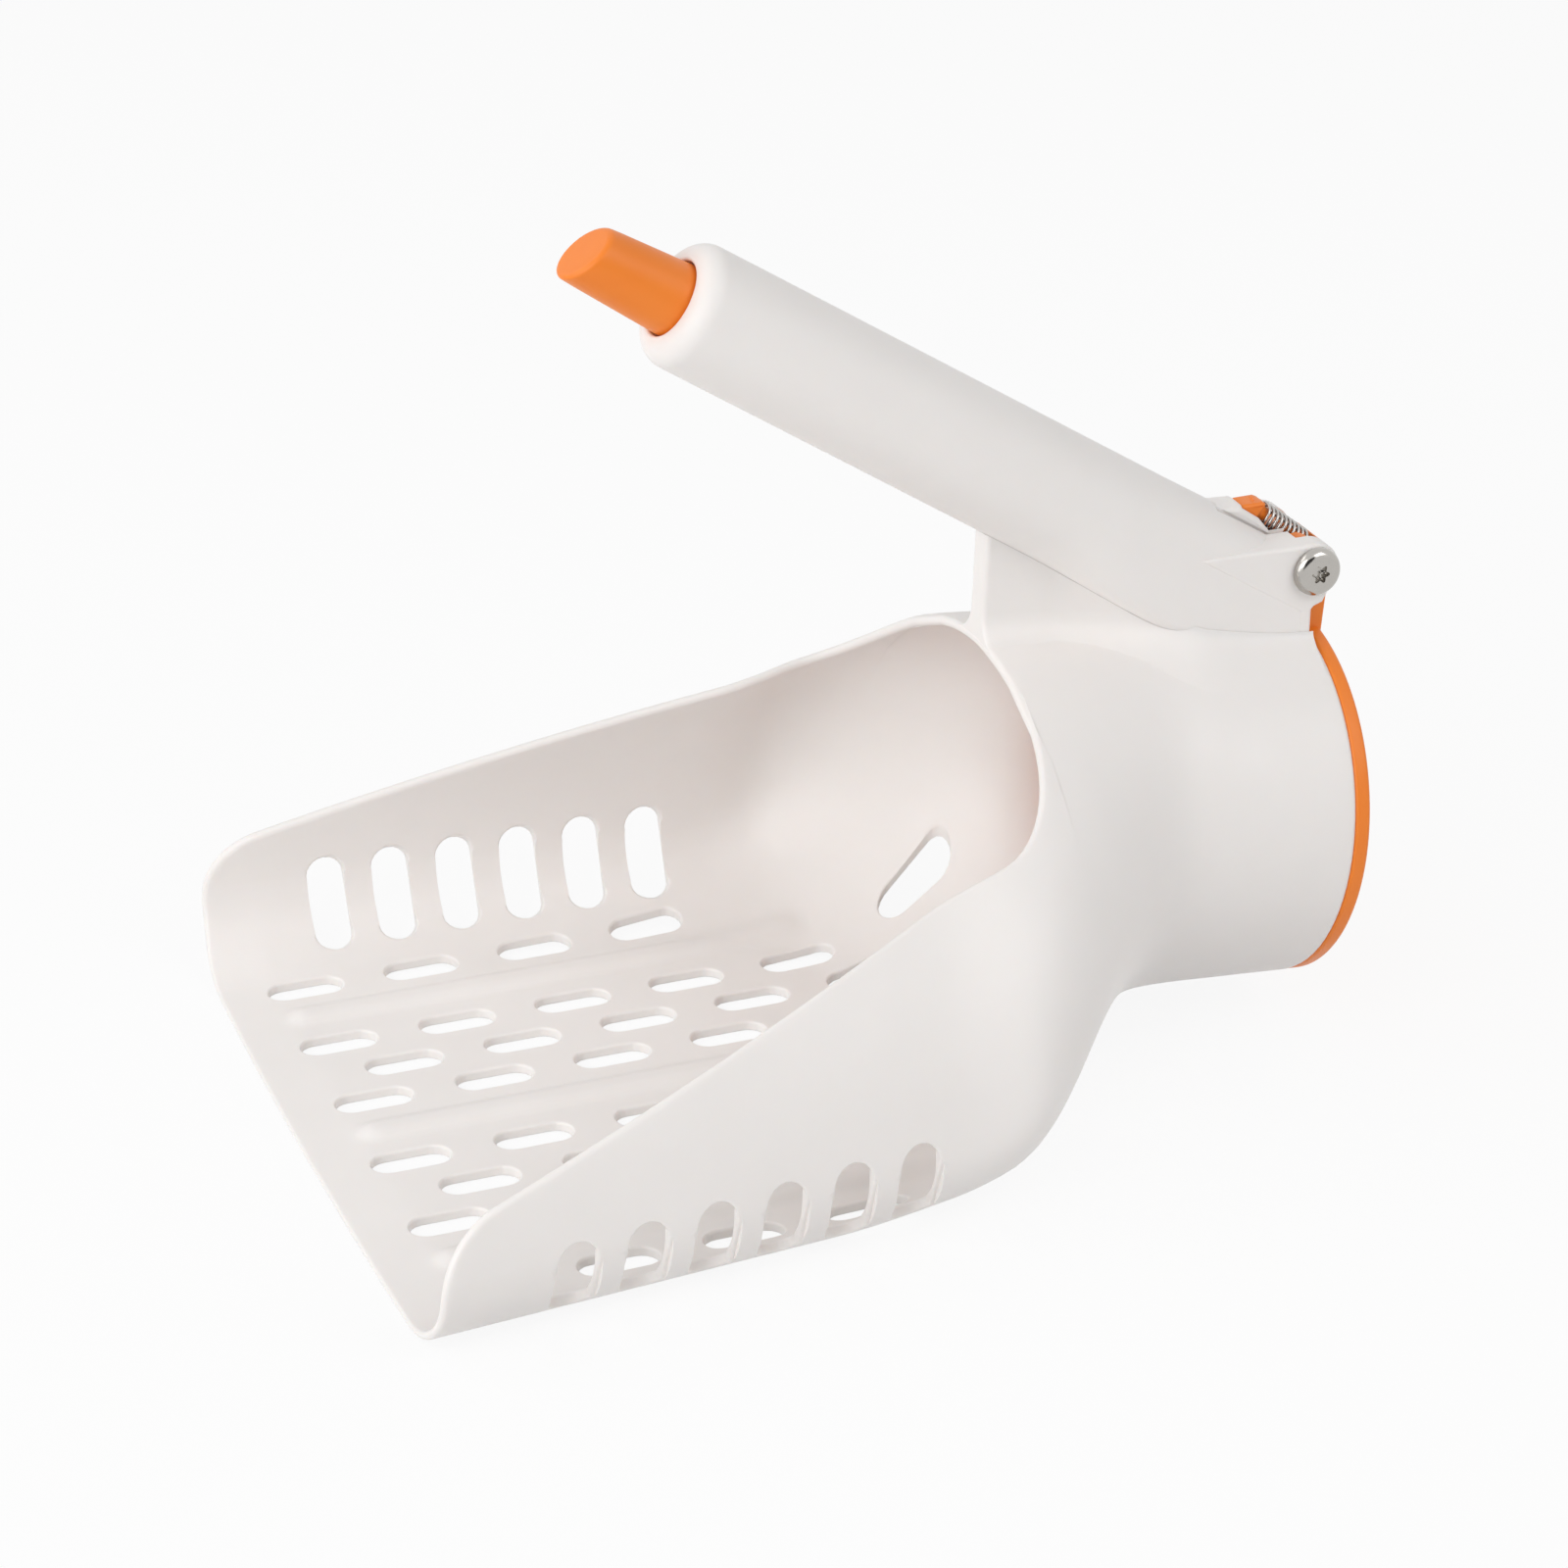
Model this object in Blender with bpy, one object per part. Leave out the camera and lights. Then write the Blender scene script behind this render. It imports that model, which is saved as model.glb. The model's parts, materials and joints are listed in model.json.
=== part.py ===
"""Hand scoop with a sieve pan, a pouring neck and a flap worked by a thumb button.

The pan runs along +X from its lip to the neck, +Z is up, and Y is left and right.
Every length is in metres. Sizes that can be set by themselves stand at the top.
"""

import math

import bmesh
import bpy
from mathutils import Matrix, Vector

MM = 0.001

# Air between two pieces that touch
AIR = 0.3 * MM

# Pan: an open tray with sloping side walls
PAN_WIDTH = 170.2 * MM
PAN_TAPER = 0.079
WALL = 2.2 * MM
LIP_EDGE = 1.2 * MM
LIP_RAMP = 12.0 * MM
CORNER_WIDTH = 19.7 * MM
CORNER_HEIGHT = 18.0 * MM
SIDE_FULLNESS = 1.58

# Neck: a round pipe that leans down to the rear
SCOOP_LENGTH = 206.2 * MM
NECK_RADIUS = 38.5 * MM
NECK_HEIGHT = 43.0 * MM
NECK_TILT = math.radians(4.45)

# Where the tray turns into the pipe: start and end, measured ahead of the rim
WIDTH_BLEND = (86.3 * MM, 33.5 * MM)
FLOOR_BLEND = (88.2 * MM, 39.8 * MM)
FLAT_BLEND = (123.2 * MM, 24.7 * MM)
ROUND_BLEND = (99.8 * MM, 35.3 * MM)

# Mouth: the cut that opens the tray, seen from the side
MOUTH_FOOT = 0.9 * MM
MOUTH_LEAN = 2.3 * MM
SIDE_HEIGHT = 24.2 * MM
SIDE_SLOPE = 0.313
MOUTH_CORNER = 17.1 * MM
ARCH_AHEAD_OF_RIM = 66.2 * MM
ARCH_CORNER = 21.4 * MM

# Sieve slots in the floor
SLOT_LENGTH = 15.8 * MM
SLOT_WIDTH = 7.0 * MM
SLOT_FIRST = 18.2 * MM
SLOT_LAST_AHEAD_OF_RIM = 88.0 * MM
OUTER_ROW_FROM_SIDE = 23.1 * MM
ROW_STAGGER = 10.0 * MM
SLOTS_IN_ROW = 5
SLOTS_IN_OUTER_ROW = 4
RAMP_SLOT_AHEAD_OF_RIM = 61.0 * MM
RAMP_SLOT_FROM_SIDE = 46.7 * MM

# Sieve slots in the side walls
WALL_SLOTS = 6
WALL_SLOT_FIRST = 28.4 * MM
WALL_SLOT_LAST_AHEAD_OF_RIM = 108.8 * MM
WALL_SLOT_WIDTH = 7.9 * MM
WALL_SLOT_LOW = -2.8 * MM
WALL_SLOT_HIGH = 20.0 * MM
WALL_SLOT_RISE = 0.033
WALL_SLOT_FALL = 0.6

# Stiffening ridges on the floor
RIDGE_FROM_SIDE = 35.1 * MM
RIDGE_START = 11.0 * MM
RIDGE_END_AHEAD_OF_RIM = 83.2 * MM
RIDGE_WIDTH = 8.0 * MM
RIDGE_HEIGHT = 1.3 * MM

# Handle: a tapering tube that slopes down to the rear and ends in two ears
HANDLE_SLOPE = math.radians(32.37)
HANDLE_LENGTH = 147.3 * MM
HANDLE_NOSE_RADIUS = 12.4 * MM
HANDLE_TAIL_RADIUS = 13.3 * MM
NOSE_ROUNDING = 4.4 * MM
NOSE_LIP = 2.5 * MM
BORE_RADIUS = 8.4 * MM
EAR_RADIUS = 5.8 * MM
EAR_THICKNESS = 4.5 * MM
EAR_GAP = 17.0 * MM
CHEEK_DROP = 6.0 * MM

# Hinge screws: above the rim and ahead of the rim's plane, and off the handle's axis
PIN_ABOVE_RIM = 13.7 * MM
PIN_AHEAD_OF_RIM = 2.3 * MM
PIN_OFF_AXIS = 12.0 * MM
PIN_RADIUS = 1.8 * MM
HEAD_RADIUS = 5.0 * MM
HEAD_HEIGHT = 3.0 * MM

# Web and saddle that carry the handle on the neck
WEB_THICKNESS = 6.0 * MM
WEB_FILLET = 4.0 * MM
WEB_LEAN = 0.1
SADDLE_RISE = 2.6 * MM
SADDLE_FLARE = 5.5 * MM
SADDLE_LENGTH = 30.0 * MM

# Flap and the finger that the push rod works
FLAP_THICKNESS = 3.4 * MM
FLAP_EDGE = 0.7 * MM
FLAP_SWING = math.radians(50.0)
TONGUE_WIDTH = 16.0 * MM
KNUCKLE_RADIUS = 4.3 * MM
FINGER_REACH = 10.5 * MM
FINGER_NOSE_RADIUS = 1.8 * MM
FINGER_THICKNESS = 2.6 * MM
FINGER_WIDTH = 7.0 * MM
LEVER_THICKNESS = 2.0 * MM
LEVER_SET_BACK = 3.9 * MM

# Spring between the fixed seat and the flap's lever
SPRING_RADIUS = 2.7 * MM
WIRE_DIAMETER = 0.65 * MM
SPRING_LENGTH = 14.3 * MM
SPRING_TURNS = 10
SPRING_TILT = math.radians(5.5)
SPRING_ABOVE_PIN = 2.4 * MM
POINTS_IN_TURN = 9

# Seat block in the crown of the handle
SEAT_RADIUS = 2.8 * MM
SEAT_LENGTH = 4.6 * MM
SPIGOT_LENGTH = 2.5 * MM
CROWN_RAMP = 6.0 * MM
CROWN_PAD_WIDTH = 9.6 * MM
CROWN_PAD_RISE = 1.3 * MM

# Thumb button
BUTTON_REACH = 20.0 * MM
BUTTON_TIP_RADIUS = 6.15 * MM
BUTTON_FACET = math.radians(20.0)
BUTTON_TIP_ROUND = 1.0 * MM
FLANGE_THICKNESS = 2.0 * MM
SOCKET_RADIUS = 4.3 * MM
SOCKET_DEPTH = 12.0 * MM

# Push rod
ROD_WIDTH = 9.0 * MM
ROD_RIB = 2.4 * MM
COLLAR_THICKNESS = 3.0 * MM
PUSHER_WIDTH = 7.0 * MM
PUSHER_LENGTH = 18.0 * MM
PUSHER_LOW = 0.5 * MM
PUSHER_HIGH = 3.0 * MM

# Two small screws that hold the handle from inside the neck
FIXING_AHEAD_OF_RIM = 15.7 * MM
FIXING_ANGLE = math.radians(12.5)
FIXING_RADIUS = 1.2 * MM
FIXING_DEPTH = 3.4 * MM
FIXING_HEAD_RADIUS = 2.4 * MM
FIXING_HEAD_HEIGHT = 1.6 * MM

# How finely round shapes are drawn
CORNER_STEPS = 6
SIDE_STEPS = 10
BLEND_STATIONS = 16
ROUND_STEPS = 40
SMALL_STEPS = 24
SLOT_STEPS = 5

# Sizes that follow from the ones above
PAN_HALF = PAN_WIDTH / 2
SLOT_PITCH = (SCOOP_LENGTH - SLOT_LAST_AHEAD_OF_RIM - SLOT_FIRST) / (SLOTS_IN_ROW - 1)
ROW_PITCH = (PAN_HALF - OUTER_ROW_FROM_SIDE) / 2.5
RAMP_SLOT_SPREAD = PAN_HALF - RAMP_SLOT_FROM_SIDE
WALL_SLOT_PITCH = (SCOOP_LENGTH - WALL_SLOT_LAST_AHEAD_OF_RIM - WALL_SLOT_FIRST) / (WALL_SLOTS - 1)
RIDGE_SPREAD = PAN_HALF - RIDGE_FROM_SIDE
RIDGE_END = SCOOP_LENGTH - RIDGE_END_AHEAD_OF_RIM
TILT_RATIO = math.tan(NECK_TILT)
ARCH_X = SCOOP_LENGTH - ARCH_AHEAD_OF_RIM
NECK_DOWN_REAR = Vector((math.cos(NECK_TILT), 0, -math.sin(NECK_TILT)))
RIM_UP = Vector((math.sin(NECK_TILT), 0, math.cos(NECK_TILT)))
RIM_CENTRE = Vector((SCOOP_LENGTH, 0, NECK_HEIGHT))
PIN = RIM_CENTRE + RIM_UP * (NECK_RADIUS + PIN_ABOVE_RIM) - NECK_DOWN_REAR * PIN_AHEAD_OF_RIM
HANDLE_AXIS = Vector((math.cos(HANDLE_SLOPE), 0, -math.sin(HANDLE_SLOPE)))
HANDLE_UP = Vector((math.sin(HANDLE_SLOPE), 0, math.cos(HANDLE_SLOPE)))
HANDLE_ORIGIN = PIN - HANDLE_UP * PIN_OFF_AXIS
EAR_OUTER = EAR_GAP / 2 + EAR_THICKNESS
PIN_HOLE_RADIUS = PIN_RADIUS + AIR
EAR_GAP_START = KNUCKLE_RADIUS + 2 * AIR
HALF_SWING = FLAP_SWING / 2
BUTTON_STROKE = 2 * FINGER_REACH * math.sin(HALF_SWING)
FINGER_ALONG = -FINGER_REACH * math.sin(HALF_SWING)
FINGER_BELOW = -FINGER_REACH * math.cos(HALF_SWING)
ROD_END = FINGER_ALONG - FINGER_NOSE_RADIUS - AIR
SPRING_FOOT = Vector((LEVER_SET_BACK, 0, PIN_OFF_AXIS + SPRING_ABOVE_PIN))
SEAT_REAR = -SPRING_LENGTH - 2 * AIR
SEAT_FRONT = SEAT_REAR - SEAT_LENGTH
NOSE = -HANDLE_LENGTH
NOSE_INSIDE = NOSE + NOSE_LIP
FLANGE_FRONT = NOSE_INSIDE + AIR
FLANGE_RADIUS = BORE_RADIUS - AIR
NOSE_HOLE_RADIUS = BORE_RADIUS - 0.8 * MM
BUTTON_NECK_RADIUS = NOSE_HOLE_RADIUS - AIR
BUTTON_TIP = NOSE - BUTTON_REACH
BUTTON_REAR = FLANGE_FRONT + FLANGE_THICKNESS
POCKET_WIDTH = 2 * (SPRING_RADIUS + 2 * AIR)
POCKET_FLOOR = SPRING_ABOVE_PIN - SPRING_RADIUS - 2 * AIR
LEVER_TOP = SPRING_ABOVE_PIN + 0.9 * SPRING_RADIUS
LEVER_BACK = LEVER_SET_BACK + LEVER_THICKNESS
LEVER_CORNERS = (
    (LEVER_SET_BACK, POCKET_FLOOR - 0.2 * MM),
    (LEVER_BACK, POCKET_FLOOR - 0.2 * MM),
    (LEVER_BACK, LEVER_TOP - 0.4 * LEVER_THICKNESS),
    (LEVER_BACK - 0.4 * LEVER_THICKNESS, LEVER_TOP),
    (LEVER_SET_BACK, LEVER_TOP),
)
FLAP_FRONT = PIN_AHEAD_OF_RIM + AIR


def smooth_step(value, start, end):
    """0 before start, 1 after end and a soft S between them."""
    share = min(1.0, max(0.0, (value - start) / (end - start)))
    return share * share * (3 - 2 * share)


def mix(first, second, share):
    return first + (second - first) * share


def blend_at(x, span):
    return smooth_step(x, SCOOP_LENGTH - span[0], SCOOP_LENGTH - span[1])


def neck_axis_z(x):
    return NECK_HEIGHT + (SCOOP_LENGTH - x) * TILT_RATIO


def arc(centre, radius, start, end, steps):
    """Points on a circle in a plane, both ends included."""
    points = []
    for i in range(steps + 1):
        angle = mix(start, end, i / steps)
        points.append((centre[0] + radius * math.cos(angle), centre[1] + radius * math.sin(angle)))
    return points


def pan_half_width(x):
    return PAN_HALF - PAN_TAPER * x


def scoop_section(x, inset):
    """One closed ring of the scoop's shell. The inset moves it inward from the outside."""
    axis_z = neck_axis_z(x)
    pan_half = pan_half_width(x)
    half = mix(pan_half, NECK_RADIUS, blend_at(x, WIDTH_BLEND))
    flat = (pan_half - CORNER_WIDTH) * (1 - blend_at(x, FLAT_BLEND))
    flat = min(flat, half - CORNER_WIDTH / 2)
    low = mix(-WALL, axis_z - NECK_RADIUS, blend_at(x, FLOOR_BLEND))
    roundness = blend_at(x, ROUND_BLEND)
    waist = mix(CORNER_HEIGHT - WALL, axis_z, roundness)
    top = axis_z + NECK_RADIUS
    power = 2 / mix(SIDE_FULLNESS, 2.0, roundness)
    low += inset
    if inset > 0:
        low -= (WALL - LIP_EDGE) * max(0.0, 1 - x / LIP_RAMP)
    half -= inset
    top -= inset
    side = []
    for i in range(CORNER_STEPS + 1):
        angle = math.pi / 2 * (i / CORNER_STEPS - 1)
        side.append((flat + (half - flat) * math.cos(angle), waist + (waist - low) * math.sin(angle)))
    for i in range(1, SIDE_STEPS + 1):
        angle = math.pi / 2 * i / SIDE_STEPS
        y = half * max(0.0, math.cos(angle)) ** power
        side.append((y, waist + (top - waist) * math.sin(angle) ** power))
    side[-1] = (0.0, top)
    ring = side + [(-y, z) for y, z in reversed(side[:-1])]
    lean = roundness * TILT_RATIO
    return [Vector((x + lean * (z - axis_z), y, z)) for y, z in ring]


def finish_mesh(name, bm, parent, material=None, smooth=True):
    """Turns a bmesh into an object. Without a material it is a helper for a Boolean."""
    bmesh.ops.remove_doubles(bm, verts=bm.verts, dist=0.001 * MM)
    bmesh.ops.dissolve_degenerate(bm, edges=bm.edges, dist=0.001 * MM)
    bmesh.ops.recalc_face_normals(bm, faces=bm.faces)
    mesh = bpy.data.meshes.new(name)
    bm.to_mesh(mesh)
    bm.free()
    for polygon in mesh.polygons:
        polygon.use_smooth = smooth
    mesh.set_sharp_from_angle(angle=math.radians(32))
    thing = bpy.data.objects.new(name, mesh)
    bpy.context.scene.collection.objects.link(thing)
    thing.parent = parent
    if material is None:
        thing.hide_render = True
        thing.display_type = "WIRE"
    else:
        mesh.materials.append(material)
    return thing


def loft(rings):
    """A closed solid through rings that have the same number of points."""
    bm = bmesh.new()
    rows = [[bm.verts.new(point) for point in ring] for ring in rings]
    count = len(rows[0])
    for first, second in zip(rows, rows[1:]):
        for i in range(count):
            j = (i + 1) % count
            bm.faces.new((first[i], first[j], second[j], second[i]))
    bm.faces.new(reversed(rows[0]))
    bm.faces.new(rows[-1])
    return bm


def prism(outline, axis, low, high):
    """A flat outline pushed along one axis. The outline lists the other two, in X, Y, Z order."""
    rings = []
    for level in (low, high):
        ring = []
        for first, second in outline:
            place = [first, second]
            place.insert("XYZ".index(axis), level)
            ring.append(Vector(place))
        rings.append(ring)
    return loft(rings)


def turned(profile, steps, ring_shaped=False):
    """A profile of (place along X, radius) turned about the X axis."""
    bm = bmesh.new()
    rows = []
    for along, radius in profile:
        row = []
        for i in range(steps):
            angle = 2 * math.pi * i / steps
            row.append(bm.verts.new((along, radius * math.cos(angle), radius * math.sin(angle))))
        rows.append(row)
    pairs = list(zip(rows, rows[1:]))
    if ring_shaped:
        pairs.append((rows[-1], rows[0]))
    for first, second in pairs:
        for i in range(steps):
            j = (i + 1) % steps
            bm.faces.new((first[i], first[j], second[j], second[i]))
    if not ring_shaped:
        bm.faces.new(rows[0])
        bm.faces.new(rows[-1])
    return bm


def moved(bm, matrix):
    bmesh.ops.transform(bm, matrix=matrix, verts=bm.verts)
    return bm


def joined(parts):
    """Several solids that don't touch, held in one mesh so that one Boolean takes them all."""
    whole = bmesh.new()
    for part in parts:
        mesh = bpy.data.meshes.new("joined")
        part.to_mesh(mesh)
        part.free()
        whole.from_mesh(mesh)
        bpy.data.meshes.remove(mesh)
    return whole


def combine(target, other, operation):
    modifier = target.modifiers.new(operation.lower() + " " + other.name, "BOOLEAN")
    modifier.operation = operation
    modifier.solver = "EXACT"
    modifier.object = other


def cut(target, *others):
    for other in others:
        combine(target, other, "DIFFERENCE")


def fuse(target, *others):
    for other in others:
        combine(target, other, "UNION")


def material(name, colour, roughness, metallic=0.0):
    made = bpy.data.materials.new(name)
    made.use_nodes = True
    shader = made.node_tree.nodes["Principled BSDF"]
    shader.inputs["Base Color"].default_value = (*colour, 1.0)
    shader.inputs["Roughness"].default_value = roughness
    shader.inputs["Metallic"].default_value = metallic
    made.diffuse_color = (*colour, 1.0)
    return made


def empty(name, parent, location, tilt=0.0):
    made = bpy.data.objects.new(name, None)
    bpy.context.scene.collection.objects.link(made)
    made.parent = parent
    made.location = location
    made.rotation_euler = (0.0, tilt, 0.0)
    return made


def slot_outline(centre_x, centre_y, length, width):
    """A slot with round ends that runs along its first axis."""
    half = width / 2
    reach = length / 2 - half
    right = arc((centre_x + reach, centre_y), half, -math.pi / 2, math.pi / 2, SLOT_STEPS)
    left = arc((centre_x - reach, centre_y), half, math.pi / 2, 3 * math.pi / 2, SLOT_STEPS)
    return right + left


def shell_solid(start, end, inset):
    """The scoop as a filled solid from start to end, moved inward by the inset."""
    blend_start = SCOOP_LENGTH - FLAT_BLEND[0]
    blend_end = SCOOP_LENGTH - FLAT_BLEND[1]
    wanted = [start, 0.0, LIP_RAMP, mix(LIP_RAMP, blend_start, 0.5)]
    wanted += [mix(blend_start, blend_end, i / BLEND_STATIONS) for i in range(BLEND_STATIONS + 1)]
    wanted.append(end)
    stations = sorted({x for x in wanted if start <= x <= end})
    return loft([scoop_section(x, inset) for x in stations])


def mouth_outline():
    """The part of the side view that is cut away above and ahead of the walls."""
    lean = math.atan(SIDE_SLOPE)
    low_x = MOUTH_LEAN + MOUTH_CORNER
    low_z = SIDE_HEIGHT + SIDE_SLOPE * low_x - MOUTH_CORNER / math.cos(lean)
    high_x = ARCH_X - ARCH_CORNER
    high_z = SIDE_HEIGHT + SIDE_SLOPE * high_x + ARCH_CORNER / math.cos(lean)
    outside = -20 * MM
    sky = neck_axis_z(0.0) + 2 * NECK_RADIUS
    lip_top = LIP_EDGE - WALL + 0.1 * MM
    outline = [(outside, lip_top), (0.0, lip_top), (MOUTH_FOOT, lip_top + MOUTH_FOOT)]
    outline += arc((low_x, low_z), MOUTH_CORNER, math.pi, math.pi / 2 + lean, 7)
    outline += arc((high_x, high_z), ARCH_CORNER, -math.pi / 2 + lean, 0.0, 7)
    outline += [(ARCH_X, sky), (outside, sky)]
    return outline


def floor_slots():
    cutters = []
    low = -3 * WALL
    high = 4 * WALL
    rows = [
        (0.5, 0.0, SLOTS_IN_ROW),
        (1.0, ROW_STAGGER, SLOTS_IN_ROW),
        (1.5, 0.0, SLOTS_IN_ROW),
        (2.5, 0.0, SLOTS_IN_OUTER_ROW),
    ]
    for place, stagger, count in rows:
        for side in (-1, 1):
            for i in range(count):
                x = SLOT_FIRST + stagger + SLOT_PITCH * i
                outline = slot_outline(x, side * place * ROW_PITCH, SLOT_LENGTH, SLOT_WIDTH)
                cutters.append(prism(outline, "Z", low, high))
    for side in (-1, 1):
        x = SCOOP_LENGTH - RAMP_SLOT_AHEAD_OF_RIM
        outline = slot_outline(x, side * RAMP_SLOT_SPREAD, SLOT_LENGTH, WALL_SLOT_WIDTH)
        cutters.append(prism(outline, "Z", low, NECK_HEIGHT * 0.75))
    return joined(cutters)


def wall_slots():
    """Slots that fall outward through the wall. Their heights count at the wall's inner side."""
    cutters = []
    length = WALL_SLOT_HIGH - WALL_SLOT_LOW
    for i in range(WALL_SLOTS):
        x = WALL_SLOT_FIRST + WALL_SLOT_PITCH * i
        middle = (WALL_SLOT_LOW + WALL_SLOT_HIGH) / 2 + WALL_SLOT_RISE * WALL_SLOT_PITCH * i
        wall_y = pan_half_width(x) - WALL
        for side in (-1, 1):
            ends = (side * (wall_y - CORNER_WIDTH), side * (wall_y + 4 * WALL))
            outline = [(b, a) for a, b in slot_outline(middle, x, length, WALL_SLOT_WIDTH)]
            cutter = prism(outline, "Y", min(ends), max(ends))
            for vert in cutter.verts:
                vert.co.z -= WALL_SLOT_FALL * (abs(vert.co.y) - wall_y)
            cutters.append(cutter)
    return joined(cutters)


def floor_ridges():
    """Low rounded ridges whose lower part is sunk in the floor."""
    parts = []
    half = RIDGE_WIDTH / 2
    sunk = 0.4 * WALL
    dip = 0.08 * WALL
    shares = [0.03, 0.12, 0.3, 0.55, 0.8, 1.0]
    stations = [(RIDGE_START + half * s, math.sqrt(1 - (1 - s) ** 2)) for s in shares]
    stations += [(RIDGE_END - half * s, math.sqrt(1 - (1 - s) ** 2)) for s in reversed(shares)]
    for place in (-1, 0, 1):
        rings = []
        for x, size in stations:
            ring = []
            for a, b in arc((0.0, 0.0), 1.0, 0.0, math.pi, 8):
                z = (RIDGE_HEIGHT + dip) * size * b - dip
                ring.append(Vector((x, place * RIDGE_SPREAD + half * size * a, z)))
            ring.append(Vector((x, place * RIDGE_SPREAD - half * size, -sunk)))
            ring.append(Vector((x, place * RIDGE_SPREAD + half * size, -sunk)))
            rings.append(ring)
        parts.append(loft(rings))
    return joined(parts)


def handle_profile(grow):
    """Outside of the handle's tube as (place, radius), from the nose to past the pin."""
    tail = HANDLE_TAIL_RADIUS + PIN_OFF_AXIS
    flat = HANDLE_NOSE_RADIUS - NOSE_ROUNDING
    profile = [(NOSE - grow, flat)]
    rounding = arc((NOSE + NOSE_ROUNDING, flat), NOSE_ROUNDING, math.pi, math.pi / 2, 6)
    profile += [(along, radius + grow) for along, radius in rounding[1:]]
    profile.append((tail, HANDLE_TAIL_RADIUS + grow))
    return profile


def ear_outline(grow):
    """Side view of the cheeks and ears: a flat top and a round end about the pin."""
    top = PIN.z + EAR_RADIUS + grow
    drop = CHEEK_DROP + grow
    root = HANDLE_ORIGIN - HANDLE_UP * drop
    floor_z = PIN.z - PIN_ABOVE_RIM - 3 * WALL
    reach_top = (root.z - top) / HANDLE_AXIS.z
    reach_floor = (root.z - floor_z) / HANDLE_AXIS.z
    outline = [(root.x - HANDLE_AXIS.x * reach_top, top)]
    round_end = arc((PIN.x, PIN.z), EAR_RADIUS + grow, math.pi / 2, -math.pi / 2, 12)
    outline += round_end
    outline.append((PIN.x + grow, floor_z))
    outline.append((root.x - HANDLE_AXIS.x * reach_floor, floor_z))
    return outline


def neck_top(x, y):
    """Height of the neck's outer side."""
    return neck_axis_z(x) + math.sqrt(NECK_RADIUS**2 - y**2)


def saddle_solid():
    """A low fairing along the top of the neck that the handle's cheeks sink into."""
    rings = []
    end = SCOOP_LENGTH - 0.5 * MM
    start = end - SADDLE_LENGTH
    for x, rise in ((start - 14 * MM, -1.5 * WALL), (start, SADDLE_RISE), (end, SADDLE_RISE)):
        axis_z = neck_axis_z(x)
        crown = axis_z + NECK_RADIUS + rise
        half = [(EAR_OUTER - 5 * MM, crown)]
        half.append((EAR_OUTER + 0.02 * SADDLE_FLARE, neck_top(x, EAR_OUTER) + rise + 0.3 * SADDLE_RISE))
        for out, share in ((0.3, 0.5), (0.65, 0.13)):
            y = EAR_OUTER + out * SADDLE_FLARE
            half.append((y, neck_top(x, y) + share * rise))
        edge = EAR_OUTER + SADDLE_FLARE
        half.append((edge, neck_top(x, edge) - 0.2 * WALL))
        half.append((edge, axis_z + NECK_RADIUS * 0.6))
        ring = half + [(-y, z) for y, z in reversed(half)]
        rings.append([Vector((x + TILT_RATIO * (z - axis_z), y, z)) for y, z in ring])
    return loft(rings)


def web_solid():
    """A thin upright wall between the neck and the underside of the handle."""
    front = ARCH_X + 0.5 * WALL
    rear = SCOOP_LENGTH - SADDLE_LENGTH
    half = WEB_THICKNESS / 2
    fillet = arc((half + WEB_FILLET, WEB_FILLET), WEB_FILLET, math.pi, 3 * math.pi / 2, 4)
    rings = []
    for x, lean in ((front, WEB_LEAN), (rear, 0.0)):
        axis_z = neck_axis_z(x)
        handle_z = HANDLE_ORIGIN.z + (x - HANDLE_ORIGIN.x) * HANDLE_AXIS.z / HANDLE_AXIS.x
        side = [(half, handle_z)]
        for y, z in fillet:
            side.append((y, neck_top(x, y) + z - 0.15 * WALL))
        side.append((half + WEB_FILLET, axis_z + NECK_RADIUS * 0.7))
        ring = side + [(-y, z) for y, z in reversed(side)]
        crown = axis_z + NECK_RADIUS
        rings.append([Vector((x + lean * (z - crown), y, z)) for y, z in ring])
    return loft(rings)


def to_flap(along, up):
    """A place in the handle's directions about the pin, told in the flap's own directions."""
    place = HANDLE_AXIS * along + HANDLE_UP * up
    return (place.dot(NECK_DOWN_REAR), place.dot(RIM_UP))


def bar_outline(start, end, thickness):
    """A straight bar in the flap's side view from one place to another."""
    first = Vector(start)
    second = Vector(end)
    side = (second - first).normalized().orthogonal() * thickness / 2
    corners = (first - side, second - side, second + side, first + side)
    return [tuple(corner) for corner in corners]


def about_y(bm):
    """Turns a solid made about X so that it lies along Y."""
    return moved(bm, Matrix.Rotation(math.pi / 2, 4, "Z"))


def build_scoop(frame, handle_axis, paint):
    ear_room = finish_mesh(
        "ear_room", prism(ear_outline(AIR), "Y", -EAR_OUTER - AIR, EAR_OUTER + AIR), frame
    )
    handle_room = finish_mesh("handle_room", turned(handle_profile(AIR), ROUND_STEPS), handle_axis)
    saddle = finish_mesh("saddle", saddle_solid(), frame)
    cut(saddle, ear_room, handle_room)
    web = finish_mesh("web", web_solid(), frame)
    cut(web, handle_room)
    body = finish_mesh("scoop_body", shell_solid(0.0, SCOOP_LENGTH, 0.0), frame, paint)
    inside = finish_mesh("scoop_inside", shell_solid(-15 * MM, SCOOP_LENGTH + 15 * MM, WALL), frame)
    ridges = finish_mesh("floor_ridges", floor_ridges(), frame)
    mouth = finish_mesh("mouth", prism(mouth_outline(), "Y", -PAN_WIDTH, PAN_WIDTH), frame)
    sieve = finish_mesh("sieve_floor", floor_slots(), frame)
    side_sieve = finish_mesh("sieve_walls", wall_slots(), frame)
    fuse(body, web, saddle)
    cut(body, inside)
    fuse(body, ridges)
    cut(body, mouth, sieve, side_sieve)
    return body


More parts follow.
